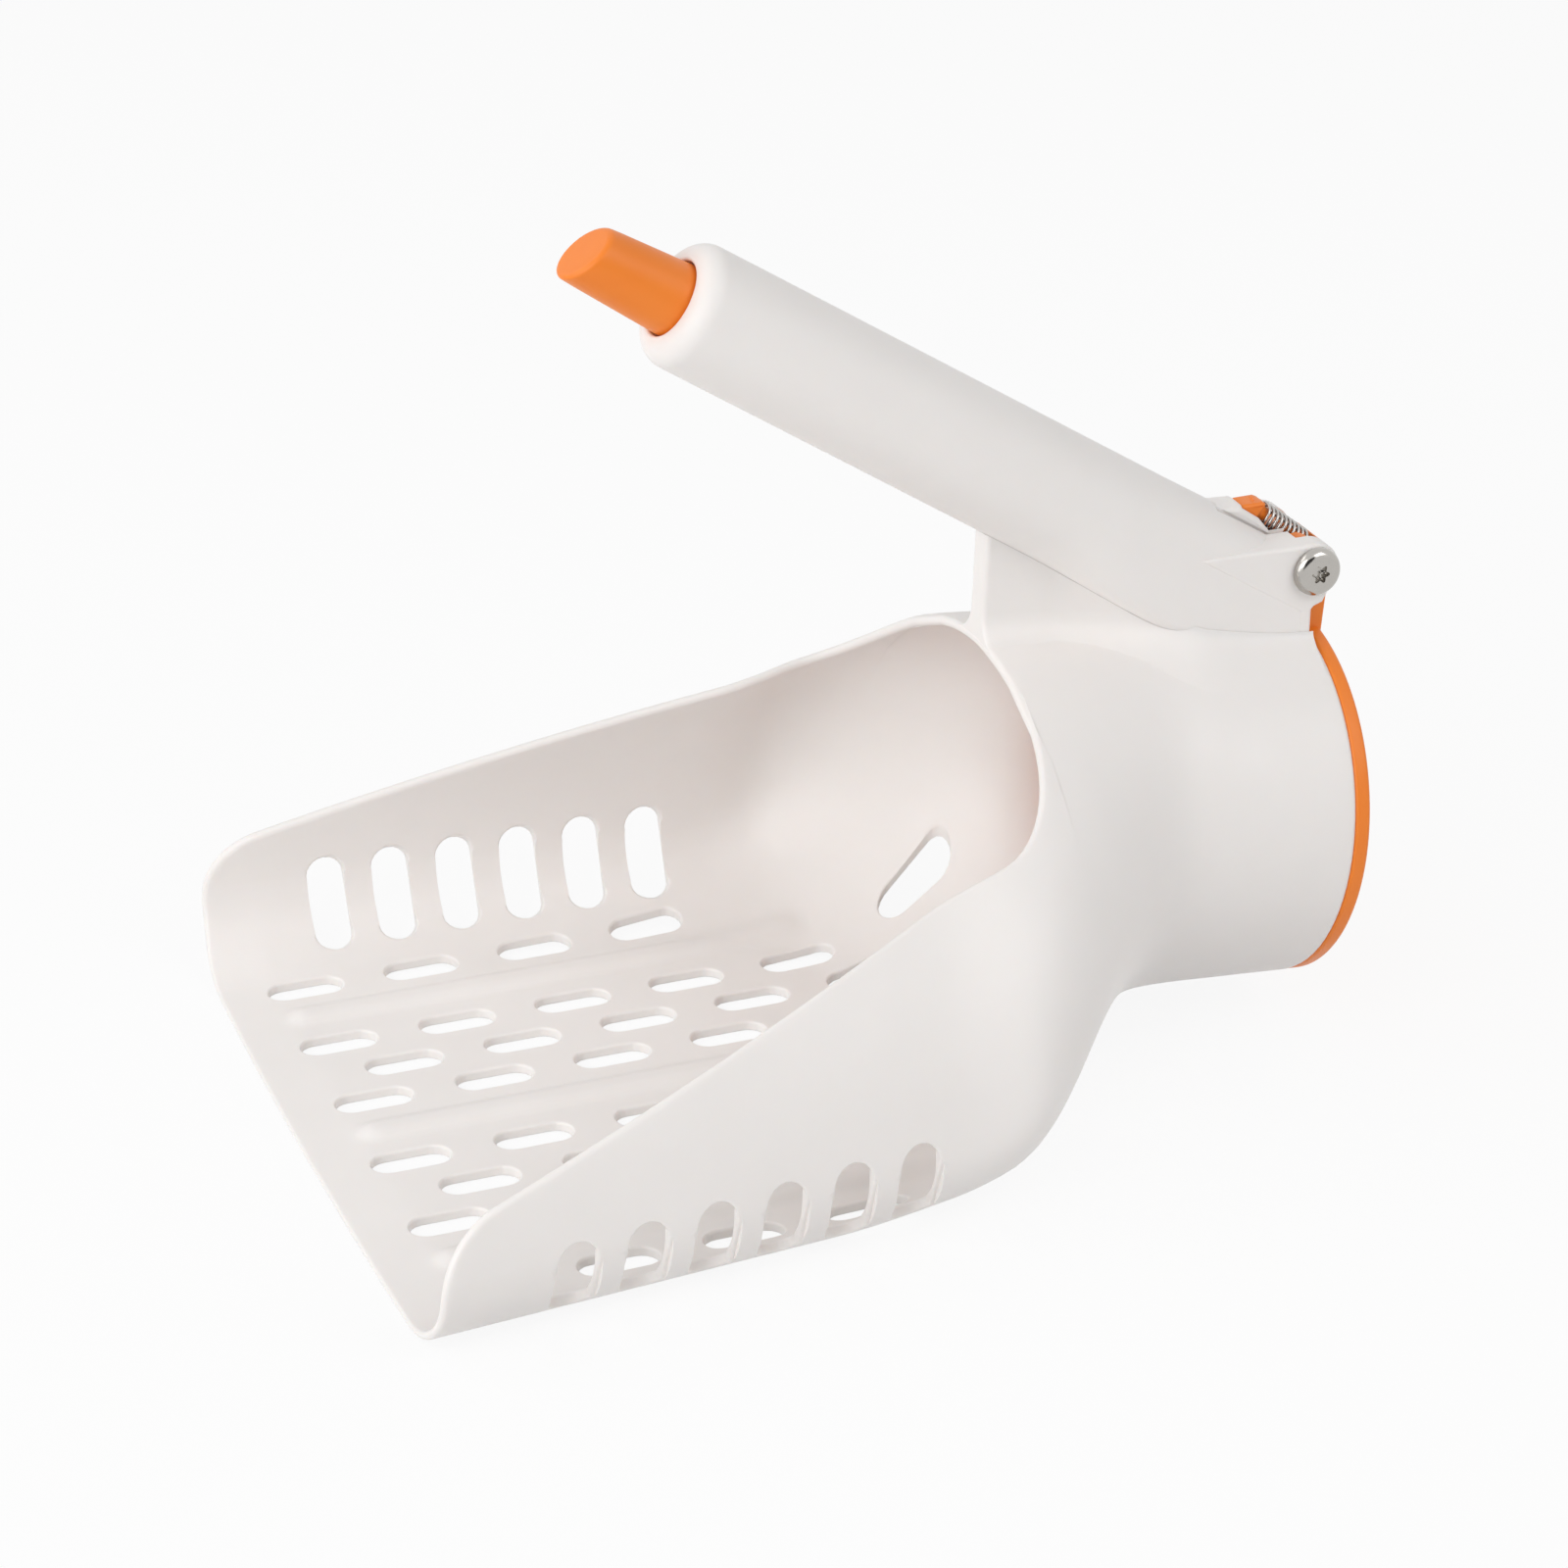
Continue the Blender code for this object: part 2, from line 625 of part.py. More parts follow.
def build_handle(frame, handle_axis, pin_frame, paint):
    handle = finish_mesh("handle", turned(handle_profile(0.0), ROUND_STEPS), handle_axis, paint)
    far = HANDLE_LENGTH
    tube_end = PIN.x - WALL * 0.2
    behind_side = [(tube_end, -far), (tube_end + far, -far), (tube_end + far, far), (tube_end, far)]
    behind = finish_mesh("behind_ears", prism(behind_side, "Y", -far, far), frame)
    ears = finish_mesh("ears", prism(ear_outline(0.0), "Y", -EAR_OUTER, EAR_OUTER), frame)
    bore = finish_mesh(
        "handle_bore", turned([(NOSE_INSIDE, BORE_RADIUS), (far, BORE_RADIUS)], ROUND_STEPS), handle_axis
    )
    hole_profile = [(NOSE - NOSE_LIP, NOSE_HOLE_RADIUS), (NOSE_INSIDE + NOSE_LIP, NOSE_HOLE_RADIUS)]
    nose_hole = finish_mesh("nose_hole", turned(hole_profile, ROUND_STEPS), handle_axis)
    half_gap = EAR_GAP / 2
    gap_box = [(-EAR_GAP_START, -half_gap), (far, -half_gap), (far, half_gap), (-EAR_GAP_START, half_gap)]
    ear_gap = finish_mesh("ear_gap", prism(gap_box, "Z", -far, far), handle_axis)
    pad_top = HANDLE_TAIL_RADIUS + CROWN_PAD_RISE
    crown = pad_top + 3 * WALL
    slot_low = BORE_RADIUS * 0.6
    slot_front = SPRING_FOOT.x + SEAT_FRONT - AIR
    slot_side = [
        (slot_front, slot_low),
        (-EAR_GAP_START + WALL, slot_low),
        (-EAR_GAP_START + WALL, crown),
        (slot_front - CROWN_RAMP, crown),
        (slot_front - CROWN_RAMP, pad_top),
        (slot_front, HANDLE_TAIL_RADIUS - CROWN_RAMP * 0.5),
    ]
    pad_front = slot_front - CROWN_RAMP
    pad_side = [
        (pad_front, HANDLE_TAIL_RADIUS * 0.8),
        (-EAR_GAP_START + WALL, HANDLE_TAIL_RADIUS * 0.8),
        (-EAR_GAP_START + WALL, pad_top),
        (slot_front, pad_top),
        (pad_front, HANDLE_TAIL_RADIUS - 0.5 * CROWN_PAD_RISE),
    ]
    pad_half = CROWN_PAD_WIDTH / 2
    crown_pad = finish_mesh("crown_pad", prism(pad_side, "Y", -pad_half, pad_half), handle_axis)
    slot_half = SEAT_RADIUS + AIR
    crown_slot = finish_mesh("crown_slot", prism(slot_side, "Y", -slot_half, slot_half), handle_axis)
    start = ARCH_X + 10 * MM
    neck_room = finish_mesh("neck_room", shell_solid(start, SCOOP_LENGTH + 15 * MM, -AIR), frame)
    pin_hole = finish_mesh(
        "pin_hole", about_y(turned([(-far, PIN_HOLE_RADIUS), (far, PIN_HOLE_RADIUS)], SMALL_STEPS)), pin_frame
    )
    cut(handle, behind)
    fuse(handle, ears, crown_pad)
    cut(handle, bore, nose_hole, ear_gap, crown_slot, neck_room, pin_hole)
    return handle


def build_flap(pin_frame, paint):
    half = NECK_RADIUS
    rear = FLAP_FRONT + FLAP_THICKNESS
    disc_z = -NECK_RADIUS - PIN_ABOVE_RIM
    profile = [
        (FLAP_FRONT, half - FLAP_EDGE),
        (FLAP_FRONT + FLAP_EDGE, half),
        (rear - FLAP_EDGE, half),
        (rear, half - FLAP_EDGE),
    ]
    disc = moved(turned(profile, 64), Matrix.Translation((0.0, 0.0, disc_z)))
    flap = finish_mesh("flap", disc, pin_frame, paint)
    tongue_half = TONGUE_WIDTH / 2
    tongue_low = disc_z + NECK_RADIUS * 0.7
    tongue_side = [
        (FLAP_FRONT + 0.2 * FLAP_EDGE, tongue_low),
        (rear - 0.2 * FLAP_EDGE, tongue_low),
        (rear - 0.2 * FLAP_EDGE, KNUCKLE_RADIUS * 0.4),
        (FLAP_FRONT + 0.2 * FLAP_EDGE, KNUCKLE_RADIUS * 0.7),
    ]
    tongue = finish_mesh("tongue", prism(tongue_side, "Y", -tongue_half, tongue_half), pin_frame)
    knuckle_half = tongue_half - 0.1 * MM
    knuckle = finish_mesh(
        "knuckle",
        about_y(turned([(-knuckle_half, KNUCKLE_RADIUS), (knuckle_half, KNUCKLE_RADIUS)], SMALL_STEPS)),
        pin_frame,
    )
    finger_half = FINGER_WIDTH / 2
    tip = to_flap(FINGER_ALONG, FINGER_BELOW)
    finger_side = bar_outline((0.0, 0.0), tip, FINGER_THICKNESS)
    finger = finish_mesh("finger", prism(finger_side, "Y", -finger_half, finger_half), pin_frame)
    nose_half = finger_half - 0.1 * MM
    nose = about_y(turned([(-nose_half, FINGER_NOSE_RADIUS), (nose_half, FINGER_NOSE_RADIUS)], SMALL_STEPS))
    moved(nose, Matrix.Translation((tip[0], 0.0, tip[1])))
    finger_nose = finish_mesh("finger_nose", nose, pin_frame)
    lever_side = [to_flap(*corner) for corner in LEVER_CORNERS]
    lever_half = knuckle_half - 0.3 * MM
    lever = finish_mesh("lever", prism(lever_side, "Y", -lever_half, lever_half), pin_frame)
    face = LEVER_CORNERS[0]
    ahead = -3 * KNUCKLE_RADIUS
    pocket_side = [
        to_flap(face[0], POCKET_FLOOR),
        to_flap(face[0], 3 * KNUCKLE_RADIUS),
        to_flap(ahead, 3 * KNUCKLE_RADIUS),
        to_flap(ahead, POCKET_FLOOR),
    ]
    pocket = finish_mesh("pocket", prism(pocket_side, "Y", -POCKET_WIDTH / 2, POCKET_WIDTH / 2), pin_frame)
    far = HANDLE_LENGTH
    pin_hole = finish_mesh(
        "flap_pin_hole",
        about_y(turned([(-far, PIN_HOLE_RADIUS), (far, PIN_HOLE_RADIUS)], SMALL_STEPS)),
        pin_frame,
    )
    fuse(flap, tongue, knuckle, finger, finger_nose, lever)
    cut(flap, pocket, pin_hole)
    return flap


def build_seat(spring_axis, paint):
    """A fixed block in the crown slot with a spigot that keeps the spring's end in place."""
    low = -SPRING_FOOT.z + BORE_RADIUS + 4 * AIR
    dome = arc((SEAT_FRONT + SEAT_RADIUS, 0.0), SEAT_RADIUS, math.radians(165), math.radians(90), 5)
    cap = turned(dome + [(SEAT_REAR, SEAT_RADIUS)], SMALL_STEPS)
    seat = finish_mesh("spring_seat", cap, spring_axis, paint)
    half = SEAT_RADIUS - 0.1 * MM
    start = SEAT_FRONT + 0.3 * SEAT_RADIUS
    end = SEAT_REAR - 0.1 * MM
    foot_side = [(start, low), (end, low), (end, 0.0), (start, 0.0)]
    foot = finish_mesh("seat_foot", prism(foot_side, "Y", -half, half), spring_axis)
    fuse(seat, foot)
    spigot_radius = SPRING_RADIUS - WIRE_DIAMETER - AIR - 0.1 * MM
    end = SEAT_REAR + SPIGOT_LENGTH
    profile = [
        (SEAT_REAR - WALL, spigot_radius),
        (end - 0.4 * MM, spigot_radius),
        (end, spigot_radius - 0.4 * MM),
    ]
    fuse(seat, finish_mesh("spigot", turned(profile, SMALL_STEPS), spring_axis))
    return seat


def spring_path():
    """Points along the wire: an end that stands square, the coil and the other end."""
    mean = SPRING_RADIUS - WIRE_DIAMETER / 2
    coil_start = -AIR - SPRING_LENGTH + WIRE_DIAMETER * 1.5
    coil_end = -AIR - WIRE_DIAMETER * 1.5
    count = SPRING_TURNS * POINTS_IN_TURN
    coil = []
    for i in range(count + 1):
        angle = 2 * math.pi * i / POINTS_IN_TURN
        along = mix(coil_start, coil_end, i / count)
        coil.append(Vector((along, mean * math.cos(angle), mean * math.sin(angle))))
    first = coil[0]
    last = coil[-1]
    step = Vector((WIRE_DIAMETER, 0.0, 0.0))
    start = [first - step * 1.5, first - step * 0.5]
    end = [last + step * 0.5, last + step * 1.5]
    return start + coil[1:-1] + end


def least_gap(path, turn):
    """Least air between the wire and itself, half a turn or more apart along it."""
    least = 1.0
    for i, point in enumerate(path):
        for other in path[i + turn // 2 + 1:]:
            least = min(least, (point - other).length)
    return least - WIRE_DIAMETER


def build_spring(spring_axis, paint):
    path = spring_path()
    curve = bpy.data.curves.new("flap_spring", "CURVE")
    curve.dimensions = "3D"
    curve.bevel_depth = WIRE_DIAMETER / 2
    curve.bevel_resolution = 1
    curve.use_fill_caps = True
    line = curve.splines.new("POLY")
    line.points.add(len(path) - 1)
    for point, place in zip(line.points, path):
        point.co = (*place, 1.0)
    line.use_smooth = True
    spring = bpy.data.objects.new("flap_spring", curve)
    bpy.context.scene.collection.objects.link(spring)
    spring.parent = spring_axis
    curve.materials.append(paint)
    print("flap_spring least gap mm", round(least_gap(path, POINTS_IN_TURN) / MM, 3))
    return spring


def build_button(handle_axis, paint):
    slope = (BUTTON_NECK_RADIUS - BUTTON_TIP_RADIUS) / (BUTTON_REACH + NOSE_LIP)
    beyond = BUTTON_TIP_RADIUS * math.tan(BUTTON_FACET) + BUTTON_TIP_ROUND
    profile = [
        (BUTTON_TIP - beyond, BUTTON_TIP_RADIUS - slope * beyond),
        (NOSE_INSIDE, BUTTON_NECK_RADIUS),
        (FLANGE_FRONT, BUTTON_NECK_RADIUS),
        (FLANGE_FRONT, FLANGE_RADIUS),
        (BUTTON_REAR, FLANGE_RADIUS),
    ]
    button = finish_mesh("push_button", turned(profile, ROUND_STEPS), handle_axis, paint)
    reach = 3 * BUTTON_TIP_RADIUS
    lean = reach * math.tan(BUTTON_FACET)
    facet_side = [
        (BUTTON_TIP - lean, -reach),
        (BUTTON_TIP + lean, reach),
        (BUTTON_TIP - 2 * reach, reach),
        (BUTTON_TIP - 2 * reach, -reach),
    ]
    facet = finish_mesh("button_facet", prism(facet_side, "Y", -reach, reach), handle_axis)
    socket_profile = [(BUTTON_REAR - SOCKET_DEPTH, SOCKET_RADIUS), (BUTTON_REAR + WALL, SOCKET_RADIUS)]
    socket = finish_mesh("button_socket", turned(socket_profile, SMALL_STEPS), handle_axis)
    cut(button, facet, socket)
    return button


def build_rod(handle_axis, paint):
    """A cross-shaped rod with a plug for the button, two guide collars and a flat pusher."""
    half = ROD_WIDTH / 2
    rib = ROD_RIB / 2
    guide = BORE_RADIUS - AIR
    front = BUTTON_REAR + AIR
    rear = ROD_END - PUSHER_LENGTH
    cross = [
        (half, rib), (rib, rib), (rib, half), (-rib, half), (-rib, rib), (-half, rib),
        (-half, -rib), (-rib, -rib), (-rib, -half), (rib, -half), (rib, -rib), (half, -rib),
    ]
    rod = finish_mesh("push_rod", prism(cross, "X", front + WALL, rear - WALL), handle_axis, paint)
    plug_end = BUTTON_REAR - SOCKET_DEPTH + AIR
    plug_radius = SOCKET_RADIUS - AIR
    front_profile = [
        (plug_end, plug_radius),
        (front, plug_radius),
        (front, guide),
        (front + COLLAR_THICKNESS, guide),
    ]
    front_end = finish_mesh("rod_front", turned(front_profile, ROUND_STEPS), handle_axis)
    rear_profile = [(rear - COLLAR_THICKNESS, guide), (rear, guide)]
    rear_end = finish_mesh("rod_rear", turned(rear_profile, ROUND_STEPS), handle_axis)
    width = PUSHER_WIDTH / 2
    pusher_section = [
        (-width, -PUSHER_LOW),
        (width, -PUSHER_LOW),
        (width, PUSHER_HIGH),
        (-width, PUSHER_HIGH),
    ]
    pusher = finish_mesh("pusher", prism(pusher_section, "X", rear - WALL * 0.5, ROD_END), handle_axis)
    fuse(rod, front_end, rear_end, pusher)
    return rod


def build_hinge_screws(pin_frame, paint):
    """Two short domed screws, one through each ear into the flap's knuckle."""
    face = EAR_OUTER + AIR
    shank_end = POCKET_WIDTH / 2 + 2 * AIR
    profile = [
        (shank_end, PIN_RADIUS),
        (face, PIN_RADIUS),
        (face, HEAD_RADIUS - 0.3 * MM),
        (face + 0.3 * MM, HEAD_RADIUS),
        (face + 0.45 * HEAD_HEIGHT, HEAD_RADIUS),
        (face + 0.8 * HEAD_HEIGHT, HEAD_RADIUS * 0.84),
        (face + HEAD_HEIGHT, HEAD_RADIUS * 0.58),
    ]
    recess_radius = HEAD_RADIUS * 0.3
    recess_profile = [(face + 0.4 * HEAD_HEIGHT, recess_radius), (face + 2 * HEAD_HEIGHT, recess_radius)]
    for name, turn in (("hinge_screw_left", math.pi / 2), ("hinge_screw_right", -math.pi / 2)):
        about = Matrix.Rotation(turn, 4, "Z")
        screw = finish_mesh(name, moved(turned(profile, ROUND_STEPS), about), pin_frame, paint)
        recess = finish_mesh(name + "_recess", moved(turned(recess_profile, 6), about), pin_frame)
        cut(screw, recess)


def build_fixings(frame, body, handle, paint):
    """Small screws that stand square to the neck's wall and reach into the handle's cheeks."""
    x = SCOOP_LENGTH - FIXING_AHEAD_OF_RIM
    inner = NECK_RADIUS - WALL
    for name, side in (("handle_screw_left", 1), ("handle_screw_right", -1)):
        stand = empty(name + "_axis", frame, (x, 0.0, neck_axis_z(x)))
        stand.rotation_euler = (-side * FIXING_ANGLE, 0.0, 0.0)
        head_top = inner - AIR
        tip = NECK_RADIUS + FIXING_DEPTH
        profile = [
            (head_top - FIXING_HEAD_HEIGHT, FIXING_HEAD_RADIUS * 0.6),
            (head_top - 0.4 * FIXING_HEAD_HEIGHT, FIXING_HEAD_RADIUS),
            (head_top, FIXING_HEAD_RADIUS),
            (head_top, FIXING_RADIUS),
            (tip - FIXING_RADIUS, FIXING_RADIUS),
            (tip, FIXING_RADIUS * 0.3),
        ]
        upright = Matrix.Rotation(-math.pi / 2, 4, "Y")
        finish_mesh(name, moved(turned(profile, SMALL_STEPS), upright), stand, paint)
        hole = FIXING_RADIUS + AIR
        hole_profile = [(inner - WALL, hole), (tip + AIR, hole)]
        drill = finish_mesh(name + "_hole", moved(turned(hole_profile, SMALL_STEPS), upright), stand)
        cut(body, drill)
        cut(handle, drill)


def main():
    for thing in list(bpy.data.objects):
        bpy.data.objects.remove(thing, do_unlink=True)
    white = material("white plastic", (0.80, 0.79, 0.77), 0.42)
    orange = material("orange plastic", (0.88, 0.24, 0.03), 0.38)
    steel = material("steel", (0.62, 0.61, 0.60), 0.25, 1.0)
    lever_reach = max(HANDLE_AXIS.x * along + HANDLE_UP.x * up for along, up in LEVER_CORNERS)
    middle = (PIN.x + max(EAR_RADIUS, lever_reach)) / 2
    frame = empty("scoop_frame", None, (-middle, 0.0, WALL))
    handle_axis = empty("handle_axis", frame, HANDLE_ORIGIN, HANDLE_SLOPE)
    pin_frame = empty("pin_frame", frame, PIN, NECK_TILT)
    spring_axis = empty("spring_axis", handle_axis, SPRING_FOOT, SPRING_TILT)
    body = build_scoop(frame, handle_axis, white)
    handle = build_handle(frame, handle_axis, pin_frame, white)
    build_flap(pin_frame, orange)
    build_seat(spring_axis, orange)
    build_spring(spring_axis, steel)
    build_button(handle_axis, orange)
    build_rod(handle_axis, orange)
    build_hinge_screws(pin_frame, steel)
    build_fixings(frame, body, handle, steel)
    place = Vector((-middle, 0.0, WALL))
    print("pin at mm", [round(v / MM, 3) for v in PIN + place])
    print("handle axis", [round(v, 5) for v in HANDLE_AXIS])
    print("button stroke mm", round(BUTTON_STROKE / MM, 4))


main()
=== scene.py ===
# %% [markdown]
# # A sifting scoop with a thumb button
# The object is a light hand tool in white plastic: a wide tray full of slots, a round neck behind it, and a
# sloping handle. An orange button in the handle's end pushes a rod that swings an orange flap away from the
# neck, and a small coil spring shuts it again. This lesson dresses the exact CAD solids of that tool for a
# studio picture. Each solid that shows gets a finer skin with rounded edges, made from the same sizes, and
# every finish is built from shader nodes.

import json
import math

import bmesh
import bpy
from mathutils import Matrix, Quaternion, Vector


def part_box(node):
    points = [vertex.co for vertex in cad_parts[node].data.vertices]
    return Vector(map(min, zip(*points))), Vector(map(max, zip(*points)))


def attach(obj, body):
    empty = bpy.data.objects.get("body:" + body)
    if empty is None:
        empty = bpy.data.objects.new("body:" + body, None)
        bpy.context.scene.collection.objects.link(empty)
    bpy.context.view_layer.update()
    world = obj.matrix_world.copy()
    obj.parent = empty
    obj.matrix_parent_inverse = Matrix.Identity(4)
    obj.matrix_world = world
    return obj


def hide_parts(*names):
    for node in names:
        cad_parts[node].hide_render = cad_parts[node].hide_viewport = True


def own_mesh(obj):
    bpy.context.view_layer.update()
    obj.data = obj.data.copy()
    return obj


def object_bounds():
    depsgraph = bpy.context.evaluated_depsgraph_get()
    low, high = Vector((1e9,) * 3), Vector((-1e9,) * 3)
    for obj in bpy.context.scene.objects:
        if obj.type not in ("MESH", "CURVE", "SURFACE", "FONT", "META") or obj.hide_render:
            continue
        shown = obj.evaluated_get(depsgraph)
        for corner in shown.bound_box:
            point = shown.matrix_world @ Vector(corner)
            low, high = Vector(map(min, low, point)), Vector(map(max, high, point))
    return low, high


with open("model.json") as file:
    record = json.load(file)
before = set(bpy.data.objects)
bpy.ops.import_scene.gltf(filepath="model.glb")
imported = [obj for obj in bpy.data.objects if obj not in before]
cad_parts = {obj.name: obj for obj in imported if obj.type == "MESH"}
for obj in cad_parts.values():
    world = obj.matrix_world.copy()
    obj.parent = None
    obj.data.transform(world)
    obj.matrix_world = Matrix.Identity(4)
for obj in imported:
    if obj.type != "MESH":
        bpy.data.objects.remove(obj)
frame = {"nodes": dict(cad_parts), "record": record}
cad_low, cad_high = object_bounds()
MM = 0.001
nodes = frame["nodes"]

# %% [markdown]
# ## Camera
# The photograph was taken with a long lens from the front left, a little above the tray. A camera can be
# placed by eye, but here it was worked out from the rows of slots and the neck's rim, so the numbers are
# simply written down. The tiny roll and shift take up the crop of the picture.

# %% Camera at the photograph's angle
LOOK_FROM = Vector((-0.28988, -0.71293, 0.43043))
LOOK_AT = Vector((-0.00840, 0.0, 0.06300))
ROLL = math.radians(0.291)


def in_scene(name, data):
    """A new object in the scene that shows a mesh, a lamp or a camera."""
    made = bpy.data.objects.new(name, data)
    bpy.context.scene.collection.objects.link(made)
    return made


lens = bpy.data.cameras.new("studio_lens")
lens.lens = 99.64
lens.sensor_width = 36.0
lens.shift_x = 0.00315
lens.shift_y = 0.0004
camera = in_scene("studio_camera", lens)
camera.location = LOOK_FROM
camera.rotation_mode = "QUATERNION"
aim = (LOOK_AT - LOOK_FROM).to_track_quat("-Z", "Y")
camera.rotation_quaternion = aim @ Quaternion((0.0, 0.0, 1.0), ROLL)
bpy.context.scene.camera = camera
print("camera distance mm", round((LOOK_AT - LOOK_FROM).length / MM))

# %% [markdown]
# ## Studio
# The picture has a plain white ground and very soft light: the white plastic runs only from a pale grey to
# almost white. The floor is a pale disc. For the camera and for mirrors it is lightened towards white, so
# that only a breath of shadow is left, while the light that it throws back on the object is that of a plain
# pale floor.

# %% Floor
FLOOR_RADIUS, FLOOR_DROP, FLOOR_GLOW = 3.0, 0.0002, 0.9


def mesh_from(bm, name):
    mesh = bpy.data.meshes.new(name)
    bm.to_mesh(mesh)
    bm.free()
    return mesh


def matt_paint(name, grey):
    """A dull grey paint."""
    made = bpy.data.materials.new(name)
    made.use_nodes = True
    shader = made.node_tree.nodes["Principled BSDF"]
    shader.inputs["Base Color"].default_value = (grey, grey, grey, 1.0)
    shader.inputs["Roughness"].default_value = 0.9
    return made


def seen_directly(tree):
    """1 for rays from the camera, a mirror or glass, and 0 for the light that falls on the object."""
    path = tree.nodes.new("ShaderNodeLightPath")
    largest = path.outputs["Is Camera Ray"]
    for kind in ("Is Glossy Ray", "Is Transmission Ray"):
        step = tree.nodes.new("ShaderNodeMath")
        step.operation = "MAXIMUM"
        tree.links.new(largest, step.inputs[0])
        tree.links.new(path.outputs[kind], step.inputs[1])
        largest = step.outputs[0]
    return largest


def mixed(tree, share, first, second):
    """Mixes two shaders by a share from another node."""
    made = tree.nodes.new("ShaderNodeMixShader")
    tree.links.new(share, made.inputs[0])
    tree.links.new(first.outputs[0], made.inputs[1])
    tree.links.new(second.outputs[0], made.inputs[2])
    return made.outputs[0]


bm = bmesh.new()
bmesh.ops.create_circle(bm, cap_ends=True, radius=FLOOR_RADIUS, segments=64)
pale_floor = in_scene("pale_floor", mesh_from(bm, "pale_floor"))
pale_floor.location.z = cad_low.z - FLOOR_DROP
floor_paint = matt_paint("floor_paint", 0.86)
tree = floor_paint.node_tree
floor_shader = tree.nodes["Principled BSDF"]
floor_shader.inputs["Specular IOR Level"].default_value = 0.0
glow = tree.nodes.new("ShaderNodeEmission")
share = tree.nodes.new("ShaderNodeMath")
share.operation = "MULTIPLY"
share.inputs[1].default_value = FLOOR_GLOW
tree.links.new(seen_directly(tree), share.inputs[0])
floor_look = mixed(tree, share.outputs[0], floor_shader, glow)
tree.links.new(floor_look, tree.nodes["Material Output"].inputs["Surface"])
pale_floor.data.materials.append(floor_paint)
print("floor at mm", round(pale_floor.location.z / MM, 2))

# %% [markdown]
# The world is a white room. What the camera and the mirrors see of it is full white, and the fill light
# that it gives is about half as strong, so that the lamps can still shape the object.

# %% World
FILL, BACKDROP = 0.48, 1.0
world = bpy.data.worlds.new("studio_air")
bpy.context.scene.world = world
world.use_nodes = True
tree = world.node_tree
fill = tree.nodes["Background"]
white_wall = tree.nodes.new("ShaderNodeBackground")
for light, strength in ((fill, FILL), (white_wall, BACKDROP)):
    light.inputs["Color"].default_value = (1.0, 1.0, 1.0, 1.0)
    light.inputs["Strength"].default_value = strength
air = mixed(tree, seen_directly(tree), fill, white_wall)
tree.links.new(air, tree.nodes["World Output"].inputs["Surface"])
bpy.context.scene.view_settings.view_transform = "Standard"
print("fill light", FILL)

# %% [markdown]
# Metal shows what stands round it. In an all-white room a polished screw looks like plaster, so
# photographers hang a dark card where the metal mirrors it, and the head gets its dark crescents. The card
# is part of the stage.

# %% Dark card
bm = bmesh.new()
bmesh.ops.create_grid(bm, x_segments=1, y_segments=1, size=0.5)
dark_card = in_scene("dark_card", mesh_from(bm, "dark_card"))
dark_card.location = (-0.15, -1.35, 0.55)
dark_card.rotation_euler = (math.radians(90.0), 0.0, 0.0)
dark_card.data.materials.append(matt_paint("card_paint", 0.02))
print("card at m", [round(v, 2) for v in dark_card.location])

# %% [markdown]
# Four broad softboxes stand round the object. The strongest is at the front left, where the nose of the
# handle is brightest. The others open up the mouth, the right side and the far side. They could be one huge
# lamp, but then the floor of the tray and the walls couldn't be balanced against each other.

# %% Softboxes
LAMPS_AIM = Vector((0.0, 0.0, 0.06))


def softbox(name, place, size, power):
    lamp = bpy.data.lights.new(name, "AREA")
    lamp.shape = "RECTANGLE"
    lamp.size = size
    lamp.size_y = size
    lamp.energy = power
    made = in_scene(name, lamp)
    made.location = place
    made.rotation_euler = (LAMPS_AIM - Vector(place)).to_track_quat("-Z", "Y").to_euler()


softbox("front_softbox", (-1.0, -0.75, 0.75), 0.9, 6.2)
softbox("mouth_softbox", (-1.2, -0.25, 0.42), 0.8, 2.4)
softbox("right_softbox", (0.5, -0.78, 0.88), 0.7, 3.2)
softbox("left_softbox", (-0.9, 0.5, 0.95), 0.9, 3.0)

# %% [markdown]
# ## Finishes
# All the plastic is moulded with a satin skin. Such a skin isn't one flat colour: the melt leaves faint
# clouds of lighter and darker colour, the tool's spark texture breaks the gloss into fine grain, and the
# skin is a little shinier where the melt flowed fast. Each of these is a noise at its own scale, read from
# the object's own coordinates so that it stays on the part when a piece moves.


# %% Satin plastic
def new_finish(name):
    made = bpy.data.materials.new(name)
    made.use_nodes = True
    return made, made.node_tree, made.node_tree.nodes["Principled BSDF"]


def noise_in(tree, **values):
    """A noise that is fixed to the object."""
    made = tree.nodes.new("ShaderNodeTexNoise")
    for name, value in values.items():
        made.inputs[name].default_value = value
    place = tree.nodes.new("ShaderNodeTexCoord")
    tree.links.new(place.outputs["Object"], made.inputs["Vector"])
    return made.outputs["Fac"]


def tinted(tree, shader, noise, deep, pale, spread):
    """Runs the colour from deep to pale with a noise."""
    tint = tree.nodes.new("ShaderNodeValToRGB")
    for stop, position, colour in zip(tint.color_ramp.elements, spread, (deep, pale)):
        stop.position = position
        stop.color = (*colour, 1.0)
    tree.links.new(noise, tint.inputs["Fac"])
    tree.links.new(tint.outputs["Color"], shader.inputs["Base Color"])


def uneven_gloss(tree, shader, noise, rough_low, rough_high):
    gloss = tree.nodes.new("ShaderNodeMapRange")
    ends = {"From Min": 0.3, "From Max": 0.7, "To Min": rough_low, "To Max": rough_high}
    for name, value in ends.items():
        gloss.inputs[name].default_value = value
    tree.links.new(noise, gloss.inputs["Value"])
    tree.links.new(gloss.outputs["Result"], shader.inputs["Roughness"])


